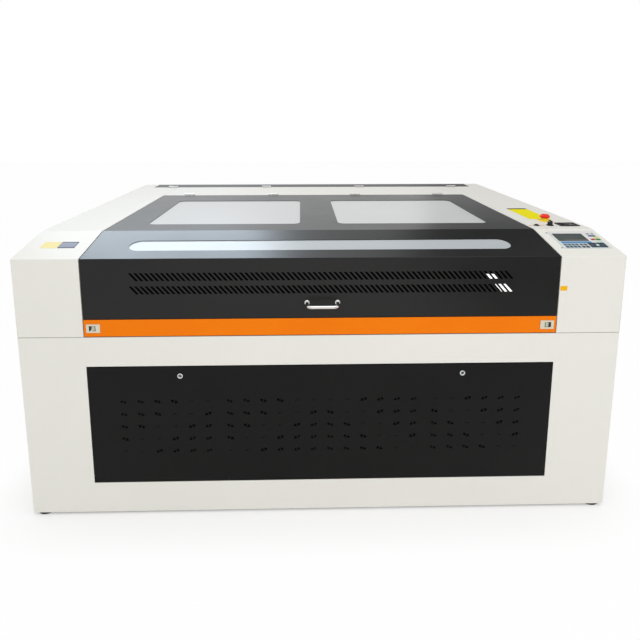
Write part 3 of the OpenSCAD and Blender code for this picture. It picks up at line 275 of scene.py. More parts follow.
# Each finish: colour, second colour, patches per metre, roughness and its spread, grains per metre, their
# depth in metres and the shine. Metals also have their metallic share and the stretch of their pattern.
finishes = {
    "whitePaint": ((0.775, 0.765, 0.72), (0.745, 0.735, 0.685), 2.2, 0.46, 0.06, 700, 6e-5, 0.25),
    "blackPaint": ((0.0085, 0.0092, 0.0088), (0.0125, 0.013, 0.0125), 3, 0.31, 0.07, 700, 5e-5, 0.27),
    "doorPaint": ((0.005, 0.0054, 0.0052), (0.0075, 0.0079, 0.0076), 3, 0.4, 0.08, 700, 6e-5, 0.13),
    "coverPaint": ((0.01, 0.0105, 0.01), (0.014, 0.0145, 0.014), 3, 0.38, 0.07, 700, 5e-5, 0.19),
    "orangePaint": ((0.86, 0.215, 0.003), (0.82, 0.165, 0.003), 2.6, 0.46, 0.05, 700, 5e-5, 0.07),
    "greyPaint": ((0.2, 0.205, 0.21), (0.16, 0.165, 0.17), 6, 0.45, 0.08, 700, 8e-5, 0.5),
    "rubber": ((0.018, 0.018, 0.018), (0.028, 0.027, 0.026), 30, 0.75, 0.1, 1500, 1e-4, 0.3),
    "darkMetal": ((0.035, 0.035, 0.038), (0.05, 0.05, 0.053), 20, 0.42, 0.08, 1500, 4e-5, 0.5),
    "creamPlastic": ((0.66, 0.62, 0.5), (0.61, 0.57, 0.45), 40, 0.48, 0.06, 1800, 5e-5, 0.35),
    "redPlastic": ((0.82, 0.026, 0.01), (0.76, 0.02, 0.008), 40, 0.38, 0.05, 800, 3e-5, 0.22),
    "yellowPlastic": ((0.88, 0.66, 0.015), (0.82, 0.6, 0.012), 40, 0.34, 0.05, 800, 3e-5, 0.35),
    "blackPlastic": ((0.008, 0.008, 0.009), (0.014, 0.014, 0.015), 50, 0.42, 0.08, 2500, 4e-5, 0.3),
    "smokedPlastic": ((0.022, 0.018, 0.02), (0.034, 0.028, 0.031), 18, 0.22, 0.05, 900, 2e-5, 0.3),
    "whitePlastic": ((0.8, 0.8, 0.79), (0.76, 0.76, 0.75), 40, 0.4, 0.06, 1500, 3e-5, 0.35),
    "panelFoil": ((0.6, 0.66, 0.655), (0.55, 0.615, 0.61), 30, 0.4, 0.06, 1500, 3e-5, 0.35),
    "panelField": ((0.7, 0.71, 0.7), (0.66, 0.67, 0.66), 30, 0.42, 0.06, 1500, 3e-5, 0.35),
    "screenGlass": ((0.072, 0.088, 0.084), (0.1, 0.118, 0.11), 22, 0.2, 0.04, 300, 1e-5, 0.4),
    "screenAmber": ((0.2, 0.13, 0.1), (0.25, 0.16, 0.12), 40, 0.35, 0.05, 900, 2e-5, 0.3),
    "keyBlue": ((0.075, 0.235, 0.46), (0.095, 0.275, 0.5), 30, 0.38, 0.05, 1500, 3e-5, 0.35),
    "keyTeal": ((0.055, 0.095, 0.105), (0.08, 0.125, 0.135), 60, 0.42, 0.06, 1500, 3e-5, 0.35),
    "keyGrey": ((0.115, 0.165, 0.175), (0.14, 0.19, 0.2), 60, 0.42, 0.06, 1500, 3e-5, 0.35),
    "keyPale": ((0.4, 0.47, 0.52), (0.36, 0.43, 0.48), 60, 0.42, 0.06, 1500, 3e-5, 0.35),
    "keyMint": ((0.36, 0.62, 0.5), (0.33, 0.58, 0.46), 60, 0.42, 0.06, 1500, 3e-5, 0.35),
    "lockCore": ((0.055, 0.105, 0.125), (0.075, 0.125, 0.145), 60, 0.3, 0.05, 900, 2e-5, 0.5),
    "thumbCream": ((0.46, 0.48, 0.38), (0.42, 0.44, 0.34), 60, 0.45, 0.06, 1500, 3e-5, 0.35),
    "keyRed": ((0.36, 0.016, 0.02), (0.42, 0.022, 0.026), 60, 0.45, 0.06, 1500, 3e-5, 0.15),
    # Near-black cloth behind the vents and the door's cuts: painted shade for the dark inside seen through
    # them
    "shadeBacking": ((0.001, 0.001, 0.001), (0.0018, 0.0018, 0.0018), 60, 0.9, 0.05, 1500, 1e-4, 0.02),
    "labelInk": ((0.02, 0.02, 0.016), (0.032, 0.032, 0.026), 60, 0.5, 0.05, 600, 4e-5, 0.05),
    "tagAmber": ((0.86, 0.46, 0.012), (0.82, 0.42, 0.01), 40, 0.55, 0.05, 600, 4e-5, 0.05),
    "keyNavy": ((0.022, 0.04, 0.062), (0.034, 0.056, 0.08), 60, 0.4, 0.06, 1500, 3e-5, 0.35),
    "keyPurple": ((0.055, 0.04, 0.25), (0.075, 0.055, 0.29), 60, 0.45, 0.05, 1500, 3e-5, 0.15),
    "keyYellow": ((0.62, 0.64, 0.2), (0.58, 0.6, 0.17), 60, 0.4, 0.05, 1500, 3e-5, 0.35),
    "keyGreen": ((0.012, 0.145, 0.025), (0.018, 0.175, 0.034), 60, 0.45, 0.05, 1500, 3e-5, 0.15),
    "labelYellow": ((0.8, 0.72, 0.008), (0.76, 0.68, 0.006), 25, 0.6, 0.05, 600, 4e-5, 0.02),
    "labelPale": ((0.8, 0.68, 0.24), (0.84, 0.75, 0.34), 60, 0.5, 0.05, 600, 4e-5, 0.2),
    "labelSlate": ((0.2, 0.225, 0.3), (0.25, 0.28, 0.35), 60, 0.5, 0.05, 600, 4e-5, 0.2),
    "labelDark": ((0.04, 0.046, 0.075), (0.055, 0.062, 0.095), 60, 0.5, 0.05, 600, 4e-5, 0.2),
    "labelAmber": ((0.7, 0.4, 0.05), (0.66, 0.36, 0.04), 40, 0.48, 0.05, 600, 4e-5, 0.2),
    "aluminium": ((0.62, 0.63, 0.64), (0.55, 0.56, 0.57), 12, 0.38, 0.08, 300, 5e-5, 0.5, 1, (1, 1, 8)),
    "brightSteel": ((0.56, 0.55, 0.53), (0.48, 0.47, 0.45), 25, 0.3, 0.08, 500, 4e-5, 0.5, 1, (8, 1, 1)),
    "zincSheet": ((0.46, 0.47, 0.48), (0.37, 0.38, 0.39), 45, 0.42, 0.1, 260, 5e-5, 0.5, 1, (1, 1, 1)),
    "brass": ((0.62, 0.45, 0.2), (0.55, 0.39, 0.16), 60, 0.32, 0.08, 900, 3e-5, 0.5, 1, (1, 6, 1)),
    "chrome": ((0.76, 0.76, 0.75), (0.7, 0.7, 0.69), 30, 0.12, 0.03, 400, 1e-5, 0.5, 1, (1, 1, 1)),
}


# Noise of every finish: detail and roughness of its patches, detail of its grains, strength of its bump
noise = {"patches": 4, "rough": 0.55, "grains": 2, "bump": 0.6}


# Finish: colour and roughness follow slow noise, height follows fine noise, all on Object coordinates
def makeFinish(name, colour, other, patch, rough, spread, grain, depth, shine, metal=0.0, stretch=(1, 1, 1)):
    material, tree = startMaterial(name)
    place = addNode(tree, "ShaderNodeTexCoord")
    turn = addNode(tree, "ShaderNodeMapping", Scale=stretch)
    patches = addNode(tree, "ShaderNodeTexNoise", Scale=patch, Detail=noise["patches"],
                      Roughness=noise["rough"])
    grains = addNode(tree, "ShaderNodeTexNoise", Scale=grain, Detail=noise["grains"])
    tones = addNode(tree, "ShaderNodeMix", data_type="RGBA")
    tones.inputs[6].default_value = (*colour, 1)
    tones.inputs[7].default_value = (*other, 1)
    roughness = addNode(tree, "ShaderNodeMapRange", To_Min=rough - spread, To_Max=rough + spread)
    bump = addNode(tree, "ShaderNodeBump", Strength=noise["bump"], Distance=depth)
    shader = addNode(tree, "ShaderNodeBsdfPrincipled", Metallic=metal, Specular_IOR_Level=shine)
    out = addNode(tree, "ShaderNodeOutputMaterial")
    join(tree, (place, "Object", turn, "Vector"), (turn, 0, patches, "Vector"), (turn, 0, grains, "Vector"),
         (patches, "Fac", tones, 0), (patches, "Fac", roughness, "Value"), (tones, 2, shader, "Base Color"),
         (roughness, 0, shader, "Roughness"), (grains, "Fac", bump, "Height"), (bump, 0, shader, "Normal"),
         (shader, 0, out, 0))
    looks[name] = material
    return tree, tones, shader


for name, values in finishes.items():
    makeFinish(name, *values)

# The panes; the slot's one, ahead of the windows, is deeper and cooler: colour x tint where y is low
panes = ((0.575, 0.58, 0.58), (0.535, 0.545, 0.55), 3.5, 0.3, 0.05, 40, 6e-5, 0.3)
slotPane = {"before": -0.56, "tint": (0.8, 0.845, 0.88, 1)}
tree, tones, shader = makeFinish("milkyPane", *panes)
place = addNode(tree, "ShaderNodeTexCoord")
axes = addNode(tree, "ShaderNodeSeparateXYZ")
ahead = addNode(tree, "ShaderNodeMath", operation="LESS_THAN")
ahead.inputs[1].default_value = slotPane["before"]
deeper = addNode(tree, "ShaderNodeMix", data_type="RGBA", blend_type="MULTIPLY")
deeper.inputs[7].default_value = slotPane["tint"]
join(tree, (place, "Object", axes, 0), (axes, "Y", ahead, 0), (ahead, 0, deeper, 0), (tones, 2, deeper, 6),
     (deeper, 2, shader, "Base Color"))

# Glass of the laser tube, and a glowing bar inside the lid: painted light that stands for the bright light
# seen through the right end of the vents
tubeGlass = {"values": ((0.86, 0.93, 0.94), (0.8, 0.89, 0.91), 8, 0.06, 0.02, 30, 5e-5, 0.5), "clear": 0.75}
shader = makeFinish("tubeGlass", *tubeGlass["values"])[2]
shader.inputs["Transmission Weight"].default_value = tubeGlass["clear"]
ventGlow = {"values": ((0.8, 0.8, 0.8), (0.76, 0.76, 0.76), 30, 0.4, 0.05, 900, 2e-5, 0.3), "glow": 0.75}
shader = makeFinish("ventGlow", *ventGlow["values"])[2]
shader.inputs["Emission Color"].default_value = (1, 1, 1, 1)
shader.inputs["Emission Strength"].default_value = ventGlow["glow"]

# Sheet parts, by slot and finish; a rounded sheet stands for each of them
sheetParts = {
    "white_paint": {"whitePaint": ["lower_front_panel", "lower_left_panel", "lower_right_panel",
                                   "lower_rear_panel", "left_housing", "right_housing", "side_skins",
                                   "rear_crossbar", "upper_rear_panel", "left_door", "right_door"]},
    "black_paint": {"blackPaint": ["lid_top", "lid_front"], "coverPaint": ["rear_cover"],
                    "doorPaint": ["front_door"]},
    "orange_paint": {"orangePaint": ["front_flap"]},
    "cream_plastic": {"creamPlastic": ["latch_plates"]},
    "bright_steel": {"brightSteel": ["rear_cover_leaves", "hinge_brackets"]},
    "dark_metal": {"darkMetal": ["carriage"]},
}

# Finish of each other solid of the machine; the pieces below stand for some of them
cadFinish = {
    "greyPaint": ["base_frame", "tube_tray", "rear_baffle"],
    "rubber": ["level_feet", "drive_belts"],
    "whitePaint": ["floor_pan"],
    "blackPaint": ["strut_cylinder_left", "strut_cylinder_right"],
    "milkyPane": ["lid_windows"],
    "tubeGlass": ["laser_tube"],
    "redPlastic": ["stop_button"],
    "yellowPlastic": ["stop_collar"],
    "blackPlastic": ["switch_bezels", "push_button", "key_knob"],
    "labelYellow": ["label_plates"],
    "darkMetal": ["tube_mounts", "drive_mounts", "latch_bolt_left", "latch_bolt_right", "panel_display"],
    "aluminium": ["rail_beams", "chip_tray", "electronics", "gantry_beam", "laser_head", "table",
                  "control_panel"],
    "zincSheet": ["rear_fittings"],
    "brightSteel": ["drive_shaft", "idler_pulleys", "lift_screw_1", "lift_screw_2", "lift_screw_3",
                    "lift_screw_4"],
    "chrome": ["lid_fittings", "strut_rod_left", "strut_rod_right", "door_lock_left", "door_lock_right"],
}
for group in (*sheetParts.values(), cadFinish):
    for finish, nodes in group.items():
        for node in nodes:
            mesh = frame["nodes"][node].data
            mesh.materials.clear()
            mesh.materials.append(looks[finish])
print("stage: finishes")


# Circle: radius (cos a, sin a)
def roundOutline(radius, around):
    turn = np.linspace(0, 2 * np.pi, around, endpoint=False)
    return radius * np.column_stack([np.cos(turn), np.sin(turn)])


# Hexagon of that half width: half width / cos of the angle from the nearest flat
def hexOutline(halfWidth, around):
    turn = np.linspace(0, 2 * np.pi, around, endpoint=False)
    fromFlat = (turn + np.pi / 6) % (np.pi / 3) - np.pi / 6
    return (halfWidth / np.cos(fromFlat))[:, None] * np.column_stack([np.cos(turn), np.sin(turn)])


# Rounded rectangle: four corner centres + radius (cos a, sin a), a quarter turn each
def boxOutline(width, depth, radius, perCorner=5):
    quarter = np.linspace(0, np.pi / 2, perCorner)
    turn = np.arange(4)[:, None] * np.pi / 2 + quarter[None, :]
    corner = np.array([(1, 1), (-1, 1), (-1, -1), (1, -1)])[:, None, :]
    centre = corner * np.array([width / 2 - radius, depth / 2 - radius])
    return (centre + radius * np.stack([np.cos(turn), np.sin(turn)], -1)).reshape(-1, 2)


# Four-sided faces of the first so many rings: a corner, the next one round, then those two on the ring above
def ringFaces(levels, around, rows):
    level, place = np.meshgrid(np.arange(rows), np.arange(around), indexing="ij")
    low, high, beside = level * around, (level + 1) % levels * around, (place + 1) % around
    return np.stack([low + place, low + beside, high + beside, high + place], -1).reshape(-1, 4)


# Closed skin: neighbouring rings joined by four-sided faces, the two end rings by fans to their middle points
def skin(rings):
    levels, around = rings.shape[:2]
    place = np.arange(around)
    beside = (place + 1) % around
    start, end, last = levels * around, levels * around + 1, (levels - 1) * around
    fans = np.concatenate([np.stack([np.full(around, start), beside, place], -1),
                           np.stack([np.full(around, end), last + place, last + beside], -1)])
    points = np.concatenate([rings.reshape(-1, 3), rings[0].mean(0)[None], rings[-1].mean(0)[None]])
    return points, ringFaces(levels, around, levels - 1), fans


# Rings stacked upwards: each outline, then its height
def stack(*levels):
    return np.stack([np.column_stack([outline, np.full(len(outline), height)]) for outline, height in levels])


# Turned shape: circles of the profile's radius at the profile's height
def turned(profile, around):
    return stack(*[(roundOutline(radius, around), height) for radius, height in profile])


# Rounded block: the outline drawn in by each level's inset, at its height
def pad(width, depth, radius, levels, perCorner):
    def drawn(inset):
        return boxOutline(width - 2 * inset, depth - 2 * inset, max(radius - inset, radius / 4), perCorner)

    return stack(*[(drawn(inset), height) for inset, height in levels])


# Frame with a hole: each ring joined to the next, and the last back to the first
def openFrame(rings):
    levels, around = rings.shape[:2]
    return rings.reshape(-1, 3), ringFaces(levels, around, levels), np.zeros((0, 3), int)


# Frame of rounded rectangles: each level's width, depth, corner radius and height
def boxFrame(*levels):
    return openFrame(stack(*[(boxOutline(*outline), height) for *outline, height in levels]))


# Shape set down at its places on one face of the cabinet: corner + x right + y up + z outward
def put(shape, places, side):
    corner, *axes = (np.array(v, float) for v in sides[side])
    points, quads, fans = shape
    places = np.array(places, float).reshape(-1, 3)
    shift = np.arange(len(places))[:, None, None] * len(points)
    points = (points[None] + places[:, None]).reshape(-1, 3)
    return (corner + points @ np.stack(axes), (quads[None] + shift).reshape(-1, 4),
            (fans[None] + shift).reshape(-1, 3))


# Closed turned shape: circles of the profile, both ends filled
def lathe(profile, around):
    return skin(turned(profile, around))


# Turned ring with a hole: circles of the profile, the last joined to the first
def hoop(profile, around):
    return openFrame(turned(profile, around))


# Closed rounded block: the insets and heights of its levels, both ends filled
def block(width, depth, radius, levels, perCorner=5):
    return skin(pad(width, depth, radius, levels, perCorner))


# Piece: the points and faces of all its shapes, one after another; it stands for the nodes named
def addPiece(name, shapes, body, replaced=(), smooth=38):
    mesh = bpy.data.meshes.new(name)
    faces, marks, points, start = [], [], [], 0
    used = list(dict.fromkeys(finish for finish, shape in shapes))
    for finish, (corners, quads, fans) in shapes:
        points.append(corners)
        faces += (quads + start).tolist() + (fans + start).tolist()
        marks.append(np.full(len(quads) + len(fans), used.index(finish)))
        start += len(corners)
    mesh.from_pydata(np.concatenate(points).tolist(), [], faces)
    for finish in used:
        mesh.materials.append(looks[finish])
    mesh.polygons.foreach_set("material_index", np.concatenate(marks))
    work = bmesh.new()
    work.from_mesh(mesh)
    bmesh.ops.recalc_face_normals(work, faces=work.faces)
    work.to_mesh(mesh)
    work.free()
    mesh.shade_smooth()
    mesh.set_sharp_from_angle(angle=math.radians(smooth))
    piece = newObject(name, mesh)
    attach(piece, body)
    if replaced:
        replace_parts(piece, *replaced)
    return piece


folds = {
    "outer": 0.0018,  # radius round the outside of a bend
    "rim": 0.3,  # a border's radius, as a share of that
    "steps": 3,
    "bend": 9,  # least angle of a bend, in degrees
    "wide": 0.006,  # least width of a folded face
    "short": 0.02,  # borders below this length stay sharp
    "small": ("hinge_brackets", "rear_cover_leaves", "lid_fittings"),  # too small for the full radius
    "merge": 2e-6,  # corners this close are one
    "flat": 0.5,  # greatest angle within one flat face, in degrees
}


# Copy of a sheet part, merged: bends get the outer radius, borders the smaller one, and short ones none
def roundedSheet(node, finish, keep=None):
    work = bmesh.new()
    work.from_mesh(frame["nodes"][node].data)
    bmesh.ops.remove_doubles(work, verts=work.verts, dist=folds["merge"])
    if keep:
        bmesh.ops.delete(work, geom=[corner for corner in work.verts if not keep(corner.co)], context="VERTS")
    flat = math.radians(folds["flat"])
    bmesh.ops.dissolve_limit(work, angle_limit=flat, verts=work.verts, edges=work.edges)
    weight = work.edges.layers.float.new("bevel_weight_edge")
    for edge in work.edges:
        if len(edge.link_faces) == 2 and abs(edge.calc_face_angle(0)) > math.radians(folds["bend"]):
            faces = edge.link_faces
            widths = [face.calc_area() / max(side.calc_length() for side in face.edges) for face in faces]
            bend = edge.calc_face_angle_signed(0)
            outside = bend > 0 and min(widths) > folds["wide"]
            edge.smooth = outside or (bend > 0 and edge.calc_length() > folds["short"])
            edge[weight] = (1.0 if outside else folds["rim"]) if edge.smooth else 0.0
    mesh = bpy.data.meshes.new(node + "_sheet")
    work.to_mesh(mesh)
    work.free()
    stale = mesh.attributes.get("custom_normal")
    if stale:
        mesh.attributes.remove(stale)
    mesh.materials.append(looks[finish])
    mesh.shade_smooth()
    piece = newObject(node + "_sheet", mesh)
    bevel = piece.modifiers.new("edges", "BEVEL")
    bevel.limit_method = "WEIGHT"
    bevel.width = folds["outer"]
    bevel.segments = folds["steps"]
    bevel.use_clamp_overlap = node in folds["small"]
    bevel.harden_normals = True
    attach(piece, frame["nodes"][node]["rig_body"])
    return piece


for slot, group in sheetParts.items():
    for finish, nodes in group.items():
        for node in nodes:
            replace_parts(roundedSheet(node, finish), node)
print("stage: sheet parts")


# Screws: a domed head and a flush one, as shares of the radius and the height, then of the socket's radius
screw = {
    "radius": 0.0045,
    "socket": 0.0019,
    "around": 12,
    "dome": {"height": 0.0026, "rings": ((1, -0.25), (1, 0.3), (0.82, 0.8), (0.55, 1)),
             "hole": ((1, 1), (0.9, 0.35))},
    "flush": {"height": 0.0003, "rings": ((1, -1), (1, 0.5), (0.94, 1)), "hole": ((1, 1), (0.9, 0.2))},
    "sideY": (-0.755, -0.25, 0.25, 0.745),
    "rearX": (-1.045, -0.62, 0.62, 1.045),
    "rows": (0.045, seamZ - 0.022, seamZ + 0.025),
    "topRow": topZ - 0.03,
    "panel": (0.094, 0.063),
    "panelSize": 0.62,
    "hingeSize": 0.6,
}
hinge = {
    "lid": (-0.7, -0.23, 0.23, 0.7),  # middles of the lid's hinges
    "coverIn": 0.028,  # middles of the cover's end hinges, in from the leaves' ends
    "knuckle": 0.004,  # radius
    "leaf": 0.0148,  # leaf screws from the hinge line
    "screwX": (-0.019, 0.019),  # and from the hinge's middle
    "top": 0.002,  # leaves' upper face above the cabinet
    "behind": 0.3,  # the lid's hinges lie further back than this, the handle's mounts before it
}


# Head: circles of radius x share at height x share, then hexagons of the socket, down into it
def headShape(kind, size=1.0):
    r, s, n, spec = screw["radius"] * size, screw["socket"] * size, screw["around"], screw[kind]
    h = spec["height"] * size
    return skin(stack(*[(roundOutline(r * share, n), h * up) for share, up in spec["rings"]],
                      *[(hexOutline(s * share, n), h * up) for share, up in spec["hole"]]))


# Screw places on one row of leaves, before (-1) or behind (1) the hinge line
def leafScrews(lines, line, way):
    return [(x + dx, line + way * hinge["leaf"], hinge["top"]) for x in lines for dx in hinge["screwX"]]


leafLow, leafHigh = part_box("rear_cover_leaves")
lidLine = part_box("lid_fittings")[1].y - hinge["knuckle"]
coverLine = leafLow.y + hinge["knuckle"]
coverEnd = (leafHigh.x - leafLow.x) / 2 - hinge["coverIn"]
coverHinges = (-coverEnd, -coverEnd / 3, coverEnd / 3, coverEnd)
sideScrews = [(y, z, 0) for z in screw["rows"] for y in screw["sideY"]]
sideScrews += [(y, screw["topRow"], 0) for y in screw["sideY"][1:]]
rearScrews = [(x, z, 0) for z in screw["rows"] for x in screw["rearX"]]
rearScrews += [(x, screw["topRow"], 0) for x in screw["rearX"][::3]]
panelAt = middle("control_panel")
panelS = (panelAt.y - frontY) / math.cos(lean)
panelScrews = [(panelAt.x - screw["panel"][0], panelS + way * screw["panel"][1], 0) for way in (-1, 1)]
flush, dome, small = headShape("flush"), headShape("dome"), headShape("dome", screw["hingeSize"])

addPiece("cabinet_screws", [
    ("zincSheet", put(flush, sideScrews, "right")),
    ("zincSheet", put(flush, [(-y, z, h) for y, z, h in sideScrews], "left")),
    ("zincSheet", put(dome, rearScrews, "back")),
    ("darkMetal", put(headShape("dome", screw["panelSize"]), panelScrews, "slope")),
    ("zincSheet", put(small, leafScrews(hinge["lid"], lidLine, 1), "top")),
    ("zincSheet", put(small, leafScrews(coverHinges, coverLine, -1), "top")),
], "chassis")
addPiece("lid_hinge_screws", [
    ("zincSheet", put(small, leafScrews(hinge["lid"], lidLine, -1), "top")),
], "lid")
addPiece("cover_hinge_screws", [
    ("zincSheet", put(small, leafScrews(coverHinges, coverLine, 1), "top")),
], "rear_cover")
print("stage: screws")


# Lid handle: a bent round bar with a rosette at each foot; its height and span follow the finger gap
rooms = {room["name"]: room["box_m"] for room in frame["record"]["physics"]["openings"]}
handleGap = rooms["handle_gap"]
handle = {
    "bar": 0.006,
    "bend": 0.018,
    "foot": 0.0098,
    "around": 16,
    "height": (handleGap[0][2] + handleGap[1][2]) / 2,
    "halfSpan": handleGap[1][0] + 0.007,  # the bar's middle is that far past the gap
    "reach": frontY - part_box("lid_fittings")[0].y - 0.006,  # less the bar's radius
}


# Bar's path: out of the lid, round a quarter circle, across, round again and back in
def handlePath():
    span, reach, bend = handle["halfSpan"], handle["reach"], handle["bend"]
    quarter = np.linspace(0, np.pi / 2, 9)
    out = np.column_stack([np.full(4, -span), np.linspace(0, reach - bend, 4)])
    corner = np.column_stack([-span + bend - bend * np.cos(quarter), reach - bend + bend * np.sin(quarter)])
    half = np.concatenate([out[:-1], corner, [(0, reach)]])
    return np.concatenate([half, half[-2::-1] * (-1, 1)])


# Bar along a path: path point + radius (cos a across the path + sin a upwards)
def bar(path, radius, around):
    along = np.gradient(path, axis=0)
    along /= np.linalg.norm(along, axis=1)[:, None]
    across = np.column_stack([-along[:, 1], along[:, 0]])
    ring = roundOutline(radius, around)
    flat = path[:, None] + ring[None, :, :1] * across[:, None]
    rise = np.broadcast_to(ring[None, :, 1:], flat.shape[:2] + (1,))
    return skin(np.concatenate([flat[..., :1], rise, flat[..., 1:]], -1))


rosette = lathe([(handle["foot"], 0), (handle["foot"], 0.0012), (handle["foot"] - 0.0012, 0.0026),
                 (handle["bar"] + 0.0008, 0.0034)], 28)
feet = [(way * handle["halfSpan"], handle["height"], 0) for way in (-1, 1)]
bentBar = bar(handlePath(), handle["bar"], handle["around"])
addPiece("lid_handle", [
    ("chrome", put(bentBar, (0, handle["height"], 0), "front")),
    ("chrome", put(rosette, feet, "front")),
], "lid", ["lid_fittings"], 50)
hingesOnly = frontY + hinge["behind"]
leaves = roundedSheet("lid_fittings", "brightSteel", lambda at: at.y > hingesOnly)
leaves.name = "lid_hinge_leaves"
print("stage: handle and hinges")


# Stop button: a mushroom head, hollow under its rim, on a stem in a yellow ring; heights from the collar
stop = {"rim": 0.0022, "hollow": 0.0055, "drop": 0.004, "around": 40}
stopAt, keyAt, buttonAt = ((at.x, at.y, 0) for at in map(middle, ("stop_button", "key_knob", "push_button")))
stopLow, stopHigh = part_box("stop_button")
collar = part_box("stop_collar")[1].z - topZ
low, inside, top = collar + stop["rim"], collar + stop["hollow"], stopHigh.z - topZ - stop["drop"]
r = (stopHigh.x - stopLow.x) / 2
mushroom = lathe([
    (0.006, -0.01), (0.0078, -0.009), (0.0078, inside), (0.016, inside), (0.0163, low + 0.0004),
    (r - 0.0022, low), (r - 0.0008, low + 0.001), (r, low + 0.0035), (r - 0.0002, low + 0.0062),
    (r - 0.002, low + 0.009), (r - 0.006, top - 0.001), (r * 0.45, top - 0.0002)], stop["around"])
ring = hoop([
    (0.029, 0), (0.029, 0.0026), (0.0278, 0.004), (0.017, 0.0044), (0.015, 0.0058),
    (0.015, collar - 0.001), (0.014, collar), (0.009, collar), (0.0082, collar - 0.001), (0.0082, 0)],
    stop["around"])
addPiece("stop_mushroom", [("redPlastic", put(mushroom, stopAt, "top"))],
         "stop_button", ["stop_button"], 50)
addPiece("stop_ring", [("yellowPlastic", put(ring, stopAt, "top"))],
         "chassis", ["stop_collar"], 40)

# Turning switch: a round base, a grip across it and two pale marks; and a low push button
key = {"base": 0.0043, "top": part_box("key_knob")[1].z - topZ, "around": 32, "mark": (-0.0062, 0),
       "pointer": (0, -0.0045)}
base, top = key["base"], key["top"]
markAt, pointerAt = ((keyAt[0] + x, keyAt[1] + y, 0) for x, y in (key["mark"], key["pointer"]))
addPiece("key_switch", [
    ("blackPlastic", put(lathe([
        (0.0066, -0.01), (0.0066, base), (0.0098, base), (0.01, base + 0.001), (0.0099, top - 0.005),
        (0.0094, top - 0.0042)], key["around"]), keyAt, "top")),
    ("blackPlastic", put(block(0.008, 0.019, 0.003, [
        (0, base + 0.004), (0, top - 0.0015), (0.0008, top - 0.0003), (0.0018, top)]), keyAt, "top")),
    ("whitePlastic", put(block(0.0022, 0.015, 0.0008, [
        (0, top - 0.0045), (0, top - 0.0039), (0.0001, top - 0.0037)], 3), markAt, "top")),
    ("whitePlastic", put(block(0.0018, 0.0068, 0.0008, [
        (0, top - 0.0006), (0.0001, top)], 3), pointerAt, "top")),
], "key_knob", ["key_knob"])
press = {"low": 0.0032, "around": 32}
low = press["low"]
addPiece("push_cap", [
    ("blackPlastic", put(lathe([
        (0.0046, -0.008), (0.0046, low - 0.002), (0.006, low), (0.0062, low + 0.0008),
        (0.0059, low + 0.0022), (0.005, low + 0.0026), (0.0034, low + 0.0022)], press["around"]),
        buttonAt, "top")),
], "push_button", ["push_button"])

# Rings of the two switches, and the port: a frame round a smoked window with a finger grip; two amber marks
port = {"size": (0.08, 0.06), "radius": 0.004, "rise": 0.003, "frame": 0.006, "edge": 0.0012, "room": 0.001,
        "grip": (0.02, 0.004), "gripUp": 0.005, "mark": (0.016, 0.008),
        "marks": ((-0.023, 0), (0.024, 0.002))}
(width, depth), rise, r, edge = port["size"], port["rise"], port["radius"], port["edge"]
inner = (width - 2 * port["frame"], depth - 2 * port["frame"])
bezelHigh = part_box("switch_bezels")[1]
portAt = (bezelHigh.x - width / 2, bezelHigh.y - depth / 2, 0)
gripAt = (portAt[0], portAt[1] - depth / 2 + port["frame"] + port["gripUp"], 0)
marksAt = [(buttonAt[0] + x, buttonAt[1] + y, 0) for x, y in port["marks"]]
addPiece("switch_rings", [
    ("blackPlastic", put(hoop([
        (0.014, 0), (0.014, 0.0016), (0.0128, 0.003), (0.0088, 0.0038), (0.0072, 0.0032), (0.0072, 0)],
        key["around"]), keyAt, "top")),
    ("blackPlastic", put(hoop([
        (0.0122, 0), (0.0122, 0.001), (0.0112, 0.002), (0.0078, 0.0024), (0.0068, 0.0018), (0.0068, 0)],
        press["around"]), buttonAt, "top")),
    ("blackPlastic", put(boxFrame(
        (width, depth, r, 0), (width, depth, r, rise * 0.7), (width - edge, depth - edge, r, rise),
        (*inner, r, rise), (*inner, r, 0)), portAt, "top")),
    ("smokedPlastic", put(block(inner[0] - port["room"], inner[1] - port["room"], 0.003, [
        (0, 0.0001), (0, 0.0014), (0.0008, 0.002)]), portAt, "top")),
    ("blackPlastic", put(block(*port["grip"], 0.0018, [
        (0, 0.0012), (0, 0.0024), (0.0006, 0.0029)]), gripAt, "top")),
    ("labelAmber", put(block(*port["mark"], 0.002, [(0, 0), (0.0002, 0.0004)]), marksAt, "top")),
], "chassis", ["switch_bezels"])
print("stage: switches")


